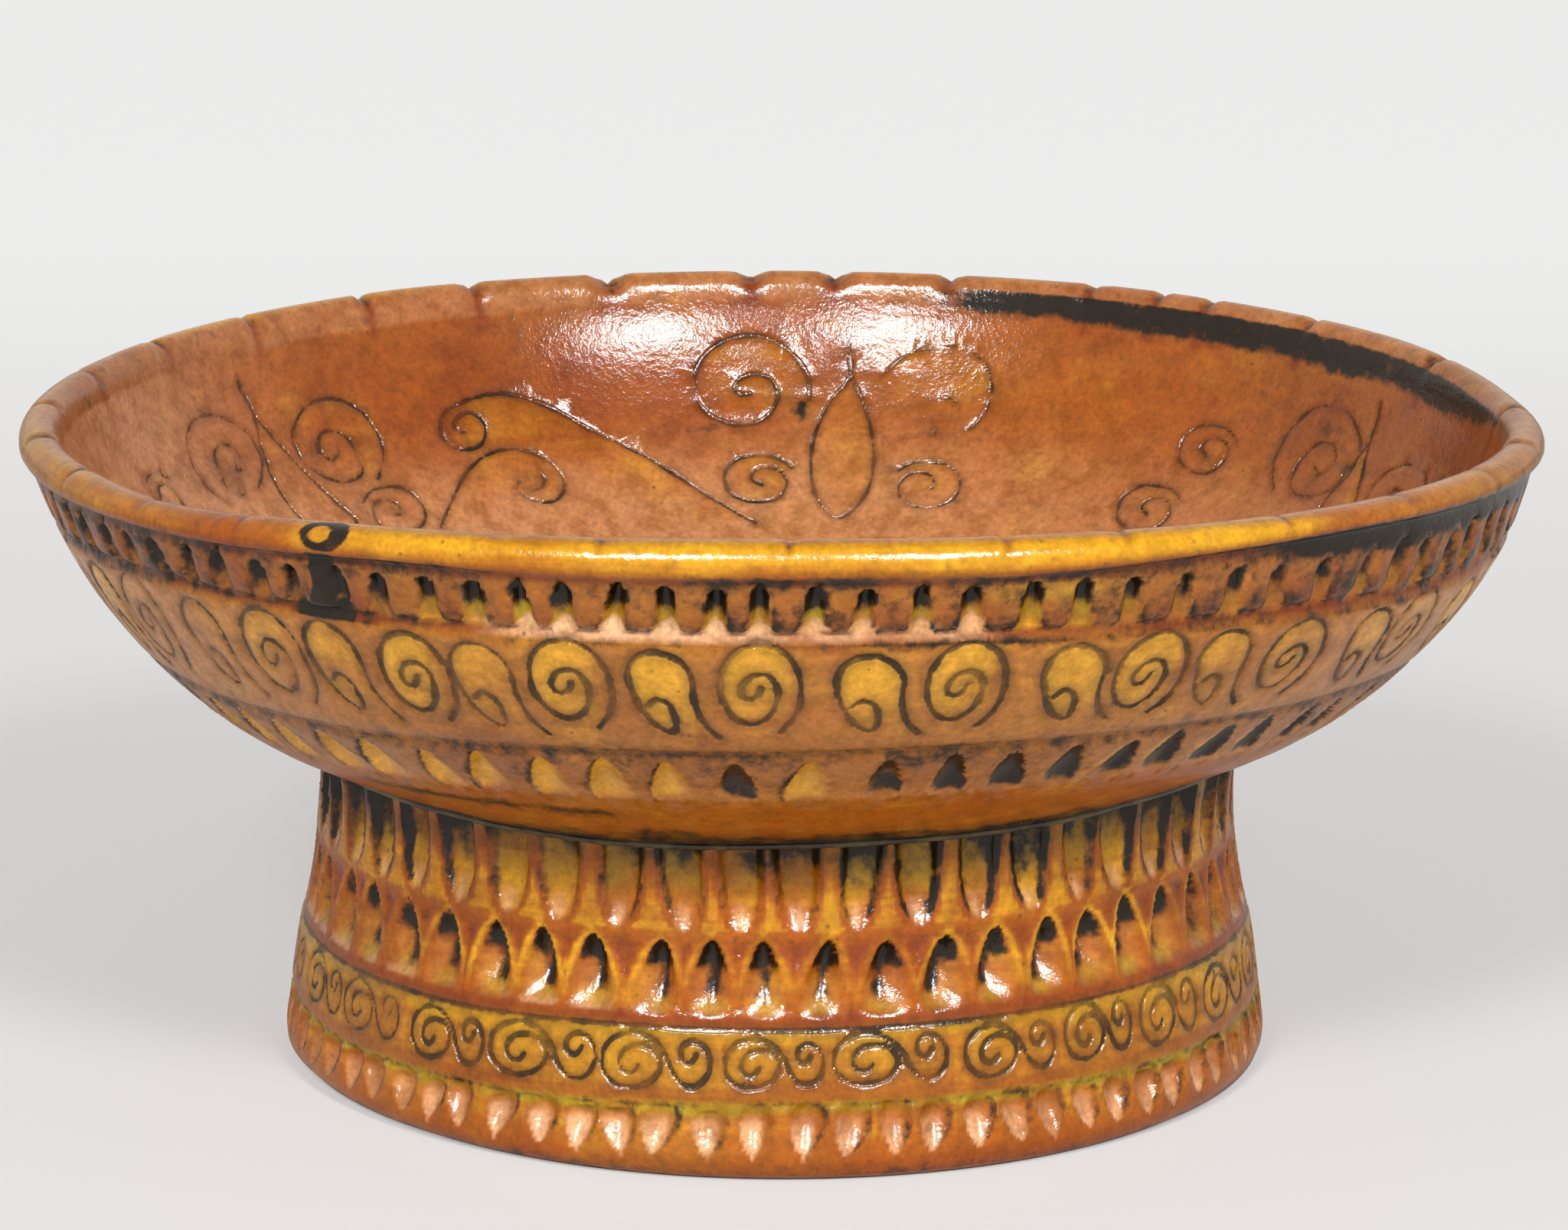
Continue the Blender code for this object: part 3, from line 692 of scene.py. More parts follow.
# Incised ornament inside: places are azimuth past a petal and distance below the lip's inner edge;
# outlines are millimetres leftwards and upwards as seen from the middle
insideOrnament = {
    "petals": (173.7, 293.7, 53.7),
    "lineHalfWidth": 0.6, "lineDepth": 0.4,
    "bigScroll": ((-12, -3.9), (-11.9, 1.1), (-7.9, 6.9), (-3.2, 9.7), (1, 10.1), (7.1, 8.1), (10.9, 3.7),
        (11.8, -1.2), (9.8, -6), (4, -9.2), (-1.3, -8.9), (-4.8, -5.7), (-5.5, -2), (-4.2, .7), (-1.5, 1.7),
        (1.8, 1), (3.5, -1.1), (2.4, -2.6), (0, -2.5)),
    "openScroll": ((13.8, 2.9), (9.8, 7.1), (2.5, 9.7), (-3.7, 9.4), (-8.3, 5.9), (-9.9, .7), (-7.5, -6.4),
        (-1.8, -10.1), (2.5, -8.4), (4.3, -5), (2.8, -1.9), (-1, -1.2), (-3.2, -2.6)),
    "smallScroll": ((-6.5, 2), (-3.5, 4.2), (.4, 4.7), (5.2, 3.7), (7.4, .7), (6.6, -3.7), (.7, -6.5), (-3.8, -5.1),
        (-5.3, -1.6), (-3.8, 1.3), (-1.1, 2.2), (1.4, 1.1), (2.1, -.7), (-.1, -2.2)),
    "petal": ((.4, 23.5), (0, 18), (-.4, 13.8), (3.4, 8), (6.2, .2), (6.5, -7.4), (4.9, -14.5), (0, -19.8),
        (-4.5, -15.2), (-6.3, -7.6), (-5.9, -1.3), (-3.8, 6.5), (-.6, 13.4)),
    "comma": ((-42.8, -25.5), (-35.1, -17.8), (-23.8, -6.6), (-14.5, -.1), (-5.2, 6.7), (3.5, 9.7), (10.7, 9),
        (17.6, 5.6), (18.2, 1.4), (15, -1.6), (9.9, -.9), (8.1, 3.2), (10, 6.1), (13.9, 5.5), (15.2, 3.3),
        (13.1, 2.2)),
    "curl": ((21.3, -9.2), (14.1, -.8), (10.4, 3.3), (4.7, 7.1), (-3.3, 7.8), (-9.4, 4.3), (-10.8, -1.1),
        (-7.7, -4.8), (-3, -4.3), (-.2, -1), (-2.9, 1.4), (-6.9, .7), (-5.5, -1.5), (-1.8, -1.9)),
    "leafScroll": ((-5.8, -8.5), (-10, -2.9), (-9.9, 4.3), (-6.1, 9), (0, 10.5), (7.2, 8), (11, 3.9), (11, -1.1),
        (7.9, -5.2), (2.3, -7.8), (-2.9, -6.4), (-3.6, -1.2), (-1.4, 2.9), (3.2, 3.4), (5.4, .2), (3.4, -2.6),
        (.8, -1.6)),
    "leaf": ((3.4, 14.5), (2.2, 7.3), (4.3, -1.3), (5.2, -8.3), (3.3, -17.4), (-3, -24), (-9.6, -20.2),
        (-7.5, -14.5), (-4.4, -7.1), (-.9, .6), (2, 6.3)),
    # outline, azimuth past the petal, distance below the edge, handedness, strength
    "groups": (("petal", 0, 29.1, 1, .8), ("bigScroll", 9.3, 17.2, 1, 1), ("openScroll", -9.4, 18.1, 1, .45),
        ("smallScroll", 8.5, 38.6, 1, .9), ("smallScroll", -8.9, 38.8, -1, .5), ("comma", 32.3, 26.3, 1, .95),
        ("curl", 35, 37.2, 1, .7), ("smallScroll", 50.3, 38.4, -1, .5), ("leafScroll", 52.9, 23, 1, .55),
        ("leaf", 60.6, 19.7, 1, .8), ("leafScroll", 68.3, 20.5, -1, .4), ("smallScroll", 81, 22, 1, .5),
        ("smallScroll", 85.7, 38.9, 1, .5)),
}

# azimuth, below the lip, width, height, strength
insideSmudges = (
    (178.2, 22.5, 1.8, 3.2, 0.75), (187.3, 27, 3, 1.2, 0.45), (193.5, 28.9, 0.7, 1.6, 0.8), (236, 31, 1.2, 3, 0.3),
)
insideGlaze = (
    ("gold", "filledIn", 0.4),
    ("amber", "inside", 0.8),
    # painted reflection: a pale haze inside, stronger low down and on the left
    ("pale", "milky", 1, (wave, "angle", 11, 6, 0.9, 0.3)),
    ("pale", "leftFill", 0.12),
    # painted dark reflection at the back left
    ("rust", "inside", 0.5, "deepPatch"),
    ("rust", "filledIn", 0.08),
    ("rust", "thick", 1.1),
    ("pool", "inside", 0.05),
    ("pool", "underRim", 0.95, (between, "angle", 84, 100, 160, 169), ("below", -4.2, -3)),
    # painted shade patches on the right inside wall
    ("rust", "smoky", 0.45),
    ("pool", "smoky", 0.2),
)


def insideScrolls(start):
    drawn = []
    for turn, petal in enumerate(insideOrnament["petals"]):
        rng = np.random.default_rng(40 + turn)
        loose = 0 if turn == 0 else 1
        for kind, past, below, hand, strength in insideOrnament["groups"]:
            shape = np.array(insideOrnament[kind]) * (hand, 1) * (1 + loose * rng.normal(0, 0.04))
            shift = loose * rng.normal(0, 0.8, 2)
            drawn.append((petal + past + shift[0], -(start + below + shift[1]), smoothPath(shape, 1.2), strength))
    return drawn


bowlProfile = turnedProfile(bowl["sections"])
insideStart = np.interp(bowlProfile["starts"][3], bowlProfile["share"], bowlProfile["along"])
insideDrawn = insideScrolls(insideStart)


def glazeInside(wall):
    # scrolls and petals under thick glaze, a dark run under the lip at the right back, a painted reflection haze
    # low down and on the left, a painted dark reflection at the back left and painted shade at the right
    angle, inside = wall.angle, wall.inside
    wall.gapIn, fill = drawMotifs(wall, -wall.along, insideDrawn, inside & (wall.radius > 80))
    wall.cut += inside * lineCut(wall.gapIn, insideOrnament)
    wall.below = below = wall.along - insideStart
    turned = angle % 360
    # painted dark reflection high on the back-left wall
    wall.deepPatch = deepPatch = bell(turned, 207, 24) * bell(below, 15, 14)
    leftSide = between(turned, 222, 262, 290, 355)
    wall.filledIn = inside * fill
    wall.leftFill = wall.filledIn * leftSide
    # painted reflection haze, stronger low down and on the left
    milky = 0.04 + 0.28 * ramp(below, 18, 42) + 0.45 * leftSide
    wall.milky = inside * milky * (1 - deepPatch) * (1 - 0.8 * (fill - fill * leftSide))
    rightSide = between(turned, 10, 60, 130, 165)
    thick = 0.22 - 0.12 * ramp(below, 26, 46) + 0.08 * rightSide + 0.1 * deepPatch
    wall.thick = inside * thick * (1 - 0.7 * fill)
    runLength = 0.6 + 2.2 * between(angle, 88, 110, 130, 166) + 0.6 * waver(angle, 8, 30)
    wall.underRim = (inside | wall.lip) * ramp(below - runLength, 1, -2)
    # painted shade patches on the right inside wall
    smoky = bell(angle, 124, 9) * bell(below, 14, 12) + bell(angle, 98, 9) * bell(below, 10, 14)
    wall.smoky = inside * smoky
    lay(wall, insideGlaze)
    for at, middle, wide, tall, deep in insideSmudges:
        u = np.radians(halfTurn(angle - at)) * wall.radius
        spot = bell(u, 0, wide) * bell(below, middle, tall)
        wall.pool += inside * deep * spot * wave(angle, 9, 60, 0.8, 0.3)


blackRun = {
    "at": -33.8, "ringAt": 10.4, "ringPast": 1.9, "ring": 2.5, "ringWide": 1.3,
    "heights": (105.5, 107, 109, 112, 115, 118), "halfWidths": (2.6, 3, 2.4, 2, 2.1, 2.7),
    "drift": (-1.2, -1, -0.6, -0.2, 0.4, 1.3),
}


def runBlackGlaze(wall):
    # one black run of glaze: a ring on the lip, down the neck, and pooled along the shelf
    angle, height, lip, around = wall.angle, wall.height, wall.lip, wall.around
    wall.pastRun = past = np.radians(angle - blackRun["at"]) * wall.radius
    ringGap = np.hypot((past - blackRun["ringPast"]) / blackRun["ringWide"], around - blackRun["ringAt"])
    ringGap = np.abs(ringGap - blackRun["ring"] * wave(angle, 12, 120, 1, 0.08))
    ring = lip * ramp(ringGap - 0.6 * ramp(past, 1.5, 4.5), 0.95, 0.4)
    half = np.interp(height, blackRun["heights"], blackRun["halfWidths"]) * wave(angle, 9, 90, 1, 0.25)
    side = np.abs(past - np.interp(height, blackRun["heights"], blackRun["drift"]) + 0.3 * np.sin(height / 1.3))
    down = (wall.outside | (lip & (around < 6.5))) * ramp(side - half, 0.5, -0.5) * ramp(height, 105.2, 106.2)
    ragged = height + 1.2 * waver(angle, 10, 90)
    spill = wall.above * ramp(ragged, 109.6, 107.6) * between(past, -8, -6, 3.6, 5)
    wall.pool += np.maximum(np.maximum(ring, down), spill)
    wall.gold *= 1 - 0.5 * np.maximum(ring, down)


def carveBowl(wall):
    begin(wall)
    angle, height, part = wall.angle, wall.height, wall.part
    wall.lip, wall.inside = part == 2, part == 3
    wall.outside = outside = (part == 1) | (wall.lip & (height < 117.6) & (wall.radius > 137))
    uneven, rings = throwingMarks(wall, bowl)
    wall.cut += uneven * (part > 0)
    wall.cut += bowl["ringsIn"] * rings * wall.inside
    wall.cut += bowl["ringsUnder"] * rings * ((part == 1) & (height < 73))
    for carve in (carveNeck, carveBand, carveBelly, carveLip, glazeInside, runBlackGlaze):
        carve(wall)

    gap = np.minimum(np.where(outside, wall.gap, farOff), np.where(wall.inside, wall.gapIn * 1.4, farOff))
    wall.lineGap = gap.clip(0, 4)
    wall.bare = (part == 0) * ramp(wall.radius, 88, 86)
    evenOut(wall)
    wall.cut *= ramp(height, 60.5, 62.5)
    wall.border = np.minimum(wall.neckBorder, wall.scoopBorder)
    wall.bite = wall.bitten
    onRim, below = wall.inside | wall.lip, wall.below
    nearRun = onRim & (angle > 84) & (angle < 170) & (below > -5.5) & (below < 5.5)
    nearRing = (outside | wall.lip) & (np.abs(wall.pastRun) < 8) & (height > 106)
    wall.soft = np.where(nearRing, bowl["finest"], np.where(nearRun, bowl["fine"], farOff))
    return wall


def bowlCells(place):
    # how small the faces have to be, in millimetres
    wall = carveBowl(place)
    height, part = wall.height, wall.part
    size = np.array(bowl["coarse"])[part]
    marked = (height > 105.8) | (np.abs(height - 77.8) < 5.2) | (np.abs(height - 83.6) < 1.3)
    size = np.where(((part == 1) & marked) | ((part == 2) & (wall.bite > 0.02)), bowl["fine"], size)
    size = np.minimum(size, wall.soft)
    size = np.where(wall.lineGap < 2, np.minimum(size, bowl["fine"]), size)
    return np.where((wall.lineGap < 0.85) | (wall.border < 0.45), bowl["finest"], size)


bowlPiece = throwPot("carved_bowl", bowl, bowlProfile, carveBowl, bowlCells)

# The foot: a hollow pedestal with flutes, arches, a wave scroll and base gouges
foot = {
    "columns": 120,
    "cell": 4.7,
    "levels": 3,
    "sections": (
        {"rows": 2, "points": ((80.7, 0), (84, 0), (88.3, 0))},
        {"rows": 13, "points": ((88.3, 0), (89.9, 0.8), (90.9, 2.4), (91.2, 4.7), (91, 8), (90.5, 12), (89.9, 16),
            (89, 21.5), (87.9, 27), (86.7, 33), (85.8, 38.9), (85.2, 45), (85.3, 51), (85.7, 55.5), (86.2, 59))},
        {"rows": 2, "points": ((86.2, 59), (82, 59), (78.7, 59))},
        {"rows": 10, "points": ((78.7, 59), (76.9, 47), (79.5, 25.7), (82.2, 5), (81.8, 1.5), (80.7, 0))},
    ),
    "seed": 61, "unevenness": 0.2, "swayHeight": 7, "ringGap": 7.5, "ringsIn": 0.2,
    "bulge": 1.8, "bulgeAt": -92, "bulgeWide": 48,  # the foot stands out a little at the left
    "coarse": (4.7, 1.17, 2.4, 4.7), "fine": 2.35, "finest": 0.58,
}

flutes = {
    "count": 50, "low": 43, "top": 62,
    "seen": (-49.6, -42, -34.1, -27.1, -19.1, -11.6, -4.6, 2, 9.5, 16.4, 24.1, 31, 38.4, 44.8),
    "up": (0, 0.035, 0.11, 0.25, 0.44, 0.67, 1),
    "halfWidth": (0, 1.4, 2.5, 3.4, 4, 4.3, 4.4),
    "depth": (0, 0.3, 0.85, 1.8, 2.7, 3.2, 3.2),
    "seed": 24, "lean": 0.05, "cross": 4.5, "rise": 0, "edge": 1, "edgeCut": 0.45,
}

fluteGlaze = (
    # painted shade on the ribs beside the flutes' lower ends
    ("pool", "ribs", 0.35, ("outwards", 0.6, 0.15), ("height", 44, 48)),
    ("rust", "ribs", 0.38, ("outwards", 1.1, 0.4), ("height", 43, 45)),
    ("gold", "top", 0.5, ("outwards", 0.4, 1.1), (between, "height", 41, 44, 50, 56)),
    ("gold", "panel", 1, (mix, "own", 0.2, 0.5), ("height", 57, 50), (wave, "angle", 74, 90, 0.9, 0.35)),
    ("olive", "panel", 1, (mix, "own", 0.55, -0.35), ("height", 47, 52)),
    # painted highlight at the flutes' tips
    ("pale", "panel", 0.6, ("up", 0.32, 0.12), (bell, "reach", -0.15, 0.4)),
    # painted shadow under the bowl darkens the panels towards the top
    ("pool", "panel", 1, ("height", 46, 53), (wave, "angle", 75, 60, 0.2, 0.12)),
    # painted shade down the flutes' side walls
    ("pool", "walls", 1, ("up", 0.03, 0.15), (wave, "angle", 66, 50, 0.6, 0.35, 0.25, 1)),
    # painted shadow under the bowl, darkest at the joint
    ("pool", "seam", 1, (mix, "plain", 0.8, -0.4), (wave, "angle", 70, 45, 0.85, 0.5, 0.35, 1)),
    ("olive", "seam", 0.4),
)
fluteAngles = spread(flutes["seen"], flutes["count"])


def carveFlutes(wall):
    # flutes that hang from the joint, with painted shade down their side walls and under the bowl, and painted
    # highlights at their tips
    height = wall.height
    vars(wall).update(hollows(wall, fluteAngles, flutes))
    wall.top = top = wall.outside & (height > 43)
    soft = flutes["edgeCut"] * wall.edge * ramp(height, 43.5, 47)
    wall.cut += top * np.maximum(wall.gouged, soft)
    wall.outwards = np.maximum(wall.border, 0)
    wall.ribs = top * wall.plain
    wall.panel = top * ramp(wall.shape, 0.25, 0.75) * ramp(wall.up, 0, 0.1)
    wall.walls = top * ramp(np.abs(wall.border + 0.55), 0.85, 0.25)
    # painted shadow under the bowl, darker near the joint
    wall.seam = top * ramp(height + 2.6 * waver(wall.angle, 64, 60), 52, 58.5)
    lay(wall, fluteGlaze)
    wall.fluteBorder = np.where(top, np.abs(wall.border + 0.4) * 0.7, farOff)


arches = {
    "count": 50, "low": 28.3, "top": 42,
    "seen": (-50.6, -43.6, -35.9, -29.2, -22.5, -14.4, -8.1, -1.8, 5.1, 12.6, 19.6, 26.2, 33.4, 40.1, 46.4, 53.5),
    "up": (0, 0.1, 0.2, 0.4, 0.6, 0.8, 0.92, 1),
    "halfWidth": (3.7, 4.5, 4.6, 4.3, 3.5, 2.4, 1.5, 0),
    "depth": (0, 1.1, 1.9, 3, 3.7, 3.9, 3, 0.3),
    "seed": 25, "lean": 0.06, "cross": 1.25, "rise": 0.35, "edge": 0.8, "edgeCut": 0.4, "valley": 0.7,
}

archGlaze = (
    ("amber", "upper", 0.9),
    ("pool", "hollowed", 1, (mix, "faded", 1, -0.35)),
    ("olive", "mid", 0.45, ("shape", 0.4, 0.8), "tip"),
    ("gold", "mid", 1, (bell, "border", 0.5, 0.8), (mix, "faded", 0.85, -0.5), ("height", 28.5, 35),
     (wave, "angle", 68, 40, 0.85, 0.25)),
    ("pool", "upper", 0.14, "faded"),
    # painted sheen lightens the shallow part of each arch
    ("pale", "shallow", 0.07, ("shape", 0.1, 0.5), (mix, "slot", 1, -1)),
    ("gold", "shallow", 0.22, ("shape", 0, 0.3)),
    ("rust", "mid", 0.8, ("border", 1, 2), ("height", 43.2, 40)),
    ("pool", "mid", 0.22, ("border", 1.4, 3), ("height", 43.2, 40)),
    # painted highlight at the arches' feet
    ("pale", "footLine", 0.7, (between, "height", 27.9, 28.3, 28.6, 30.4)),
)
archAngles = spread(arches["seen"], arches["count"])
# the gouge lay over to one side in each arch: where its deepest line is, as a share of the half width
archLines = np.random.default_rng(53).uniform(-0.5, 0.4, len(archAngles))
archLean = 0.3 - 0.3 * ramp(archAngles, -18, 0) - 0.5 * ramp(archAngles, 2, 20)
archLines = np.where(np.abs(archAngles) < 60, archLean, archLines)


def carveArches(wall):
    # arches between the flutes' tips, with painted highlights at their feet
    angle, height, outside = wall.angle, wall.height, wall.outside
    vars(wall).update(hollows(wall, archAngles, arches, archLines))
    up, border, shape = wall.up, wall.border, wall.shape
    wall.mid = mid = outside & (height < 43.4) & (height > 27.5)
    soft = arches["edgeCut"] * wall.edge * ramp(height, 28.3, 30)
    valley = arches["valley"] * ramp(border, 0.9, 2.6) * between(height, 31, 35, 40, 43.2)
    wall.cut += mid * np.maximum(wall.gouged, np.maximum(soft, valley))

    wall.upper = outside & (height > 26.5)
    pocket = ramp(up, 0.52, 0.74) * ramp(shape, 0.02, 0.3)
    wall.slot = bell(wall.pastLine, 0, 0.33) * ramp(up, 0.12, 0.35) * mix(wall.own, 0.8, 0.3)
    wall.hollowed = mid * np.maximum(pocket, wall.slot * (np.abs(wall.reach) < 1))
    rightSide = ramp(angle, 42, 62) * ramp(wall.sideways, 120, 90)
    wall.faded = ramp(angle, -38, -60) + rightSide
    wall.tip = (up > 0) * ramp(up, 0.35, 0.15)
    wall.shallow = mid * (1 - pocket)
    wall.footLine = mid * (shape > 0) * ramp(waver(angle, 69, 90), -0.2, 0.5)
    lay(wall, archGlaze)
    wall.archBorder = np.where(mid, np.minimum(np.abs(border), np.abs(border - 0.7)), farOff)


waveBand = {
    "low": 16.8, "tall": 8.5, "lineHalfWidth": 0.62, "lineDepth": 0.5, "curlPast": 5.9,
    "ledge": (26.3, 0.55), "ledgeCut": 0.45, "ledgeStep": 0.3,
    "spirals": (-57.6, -43.6, -30.7, -16.6, -2.8, 10, 24.9, 37.6, 49.8, 63.4), "count": 27,
    "curls": (-50.9, -37.2, -22.8, -9.3, 3.6, 17.6, 31.6, 43.4, 56.3),
    "wave": ((.66, .39), (0, .267), (-1.32, .267), (-2.2, .444), (-1.41, .667), (.79, .778), (3.08, .683),
        (4.05, .433), (2.86, .139), (.09, 0), (-3, .067), (-4.67, .344), (-4.4, .694), (-2.64, .917), (0, 1),
        (2.64, .889), (4.71, .611), (5.8, .306), (7.36, .072), (9.25, .056), (10.8, .267), (11, .583), (10, .822),
        (8.15, .9), (6.83, .75), (7.05, .539), (8.37, .489), (9.07, .65)),
}

waveGlaze = (
    ("rust", "outside", 0.8, (between, "height", 26.4, 26.8, 28, 30)),
    ("gold", "onWave", 0.26),
    ("gold", "onWave", 0.3, "fill"),
    ("gold", "onWave", 0.16, (wave, "angle", 65, 12, 0, 1)),
    ("gold", "onWave", 0.3, ("height", 22.5, 25.5)),
    ("olive", "onWave", 0.3, ("height", 23.5, 25.8)),
    ("rust", "outside", 0.45, (between, "height", 14.4, 15.2, 15.8, 17.6)),
)


def waveScrolls():
    drawn = []
    rng = np.random.default_rng(51)
    for angle in spread(waveBand["spirals"], waveBand["count"]):
        curl = [at for at in waveBand["curls"] if 4 < at - angle < 10]
        stretch = (curl[0] - angle) / waveBand["curlPast"] if curl else rng.uniform(1.1, 1.2)
        shape = np.array(waveBand["wave"]) * (stretch, waveBand["tall"])
        path = smoothPath(shape * (1, rng.uniform(0.95, 1.05)), 0.9)
        faded = slide(-angle, 42, 56, 1, 0.55)
        drawn.append((angle, waveBand["low"] + rng.normal(0, 0.2), path, faded))
    return drawn


waveDrawn = waveScrolls()


def carveWaves(wall):
    # the wave band under its ledge line
    height, outside = wall.height, wall.outside
    ledge, halfWide = waveBand["ledge"]
    line = turnedLine(height, ledge, halfWide) * outside
    wall.cut += waveBand["ledgeCut"] * line + outside * waveBand["ledgeStep"] * ramp(height, ledge, ledge + 0.6)
    band = outside & (height > 14.5) & (height < 27.3)
    gap, wall.fill = drawMotifs(wall, height, waveDrawn, band)
    wall.cut += band * lineCut(gap, waveBand)
    wall.onWave = outside * between(height, 15, 17.5, 26, 26.6)
    lay(wall, waveGlaze)
    ledgeGap = np.where(outside, np.abs(height - ledge) * 1.5, farOff)
    wall.lineGap = np.minimum(np.where(band, gap * 1.3, farOff), ledgeGap).clip(0, 4)


baseGouges = {
    "count": 72, "low": 4.4, "top": 13.3,
    "seen": (-42.7, -38.6, -32.8, -27.4, -22.6, -18, -13.6, -7.9, -2.8, 2.9, 7.9, 12.9, 17.4, 22.7, 27.5, 31.9,
        36.8, 41.4),
    "up": (0, 0.12, 0.3, 0.55, 0.75, 0.9, 1),
    "halfWidth": (0, 1.1, 2.2, 3.1, 3.4, 3.2, 2.7),
    "depth": (0, 0.45, 1.1, 2, 2.5, 2.4, 1.5),
    "seed": 26, "lean": 0.12, "cross": 1.7, "rise": 0.25, "edge": 0.7, "edgeCut": 0.3,
    "groove": (14, 0.9), "grooveCut": 0.7,
}

baseGlaze = (
    ("pool", "groove", 0.5),
    ("olive", "strip", 1, (mix, "own", 0.5, 0.5)),
    # painted highlight in the gouges, weaker at the right
    ("pale", "sunlit", 1, ("height", 12.5, 9.5), (mix, "own", 0.35, 0.45)),
    ("pale", "cupped", 0.25, ("up", 0.5, 0.2)),
    ("pool", "base", 0.45, (between, "reach", 0.5, 0.8, 1, 1.3), ("up", 0.05, 0.2)),
    ("amber", "base", 0.6),
    ("gold", "base", 0.3, "plain", ("height", 6, 10)),
    ("pool", "outside", 0.42, ("height", 3.6, 0.6)),
    ("rust", "base", 0.5, ("height", 6.5, 3)),
)
gougeAngles = spread(baseGouges["seen"], baseGouges["count"])


def carveBase(wall):
    # a groove, and gouges below it with painted highlights in them
    angle, height, outside = wall.angle, wall.height, wall.outside
    wall.groove = turnedLine(height, *baseGouges["groove"]) * outside
    wall.cut += baseGouges["grooveCut"] * wall.groove
    vars(wall).update(hollows(wall, gougeAngles, baseGouges))
    wall.base = base = outside & (height < 14.2)
    soft = baseGouges["edgeCut"] * wall.edge * ramp(height, 4.5, 6.5)
    wall.cut += base * np.maximum(wall.gouged, soft) * ramp(height, 14.2, 13.6)
    wall.cupped = cupped = base * ramp(wall.shape, 0.05, 0.35)
    wall.strip = outside * (height < 14.6) * ramp(height + 0.5 * waver(angle, 67, 60), 11.6, 13)
    rightward = between(angle, -6, 14, 80, 110) * ramp(wall.reach, -0.5, 0)
    wall.sunlit = cupped * ramp(wall.reach, 0.8, 0.35) * (1 - 0.45 * rightward)
    lay(wall, baseGlaze)
    # less painted highlight in the gouges at the left
    wall.pale *= 1 - 0.65 * base * between(-angle, 34, 50, 90, 110)
    wall.gougeBorder = np.where(base & (height > 4.5), np.abs(wall.border + 0.3), farOff)


footProfile = turnedProfile(foot["sections"])


def carveFoot(wall):
    begin(wall)
    angle, height, part = wall.angle, wall.height, wall.part
    wall.outside = outside = part == 1
    uneven, rings = throwingMarks(wall, foot)
    wall.cut += uneven * outside + foot["ringsIn"] * rings * (part == 3)
    bulge = foot["bulge"] * bell(angle, foot["bulgeAt"], foot["bulgeWide"])
    wall.cut -= outside * bulge * slide(height, 45, 58, 1, 0.5)
    for carve in (carveFlutes, carveArches, carveWaves, carveBase):
        carve(wall)

    bare = (part == 0) + (part == 3) * slide(height, 30, 2, 0.4, 1) + outside * ramp(height, 0.5, 0.1)
    wall.bare = np.clip(bare, 0, 1)
    evenOut(wall)
    wall.cut *= ramp(height, 0.3, 3)
    wall.border = np.minimum(np.minimum(wall.fluteBorder, wall.archBorder), wall.gougeBorder)
    return wall


def footCells(place):
    wall = carveFoot(place)
    height, part = wall.height, wall.part
    size = np.array(foot["coarse"])[part]
    size = np.where((part == 1) & (height < 4), foot["fine"], size)
    lined = (part == 1) & (wall.lineGap < 1.1)
    return np.where(lined | (wall.border < 0.7), foot["finest"], size)


footPiece = throwPot("carved_foot", foot, footProfile, carveFoot, footCells)


def throwRing(name, settings):
    # a ring pulled on the wheel: a circle extruded and resized from station to station, closed on itself
    print(name)
    deselectAll()
    stations = settings["stations"]
    here = stations[0]
    start = (0, 0, here[1] * mm)
    bpy.ops.mesh.primitive_circle_add(vertices=settings["sides"], radius=here[0] * mm, location=start)
    ring = settle(name)
    bpy.ops.object.mode_set(mode="EDIT")
    for there in stations[1:] + stations[:1]:
        bpy.ops.mesh.extrude_edges_move(TRANSFORM_OT_translate={"value": (0, 0, (there[1] - here[1]) * mm)})
        grow = there[0] / here[0]
        bpy.ops.transform.resize(value=(grow, grow, 1))
        here = there
    closeUp(5e-6)
    return ring


def handWork(ring, press):
    # what the fingers do to a ring: press gives how far each point goes inwards and down, in millimetres
    spots = readSpots(ring.data.vertices, "co") / mm
    angle = np.degrees(np.arctan2(spots[:, 0], -spots[:, 1]))
    radius = np.hypot(spots[:, 0], spots[:, 1])
    inwards, down = press(angle, radius, spots[:, 2])
    setRound(ring.data, angle, radius - inwards, spots[:, 2] - down)


# The slip in the joint: squeezed out in a lumpy bead
slipBead = {
    "sides": 360, "lumps": 0.35,
    "stations": [(79, 59.02), (83, 59.02), (86.6, 59.02), (87.4, 59.1), (87.9, 59.4), (88.1, 59.8), (87.9, 60.2),
        (87.4, 60.5), (86.6, 60.58), (83, 60.58), (79, 60.58), (78.8, 59.8)],
}
slipPiece = throwRing("slip_bead", slipBead)


def squeezeSlip(angle, radius, height):
    lumps = slipBead["lumps"] * (1 + waver(angle, 71, 30)) * ramp(radius, 86.8, 87.8)
    return lumps.clip(0, 1.2), np.zeros_like(angle)


handWork(slipPiece, squeezeSlip)

# The coil thumbed into the corner inside the joint
thumbedCoil = {
    "sides": 288, "thumbs": 34, "press": 1.1,
    "stations": [(77, 60.3), (81, 60.3), (85, 60.3), (77.9, 58.6), (77.2, 55.5), (76.7, 52.2), (76, 51.5),
        (75.1, 51.9), (73.9, 53.6), (72.6, 55.6), (71.1, 57.4), (69.4, 58.8), (69.3, 59.9), (71, 60.3)],
}
coilPiece = throwRing("thumbed_coil", thumbedCoil)


def pressThumbs(angle, radius, height):
    dents = np.abs(np.sin(np.radians(angle * thumbedCoil["thumbs"] / 2) + 0.8 * waver(angle, 72, 5)))
    pressed = thumbedCoil["press"] * dents * ramp(radius, 77, 74) * ramp(height, 60, 58.5)
    return -pressed, -0.3 * pressed


handWork(coilPiece, pressThumbs)

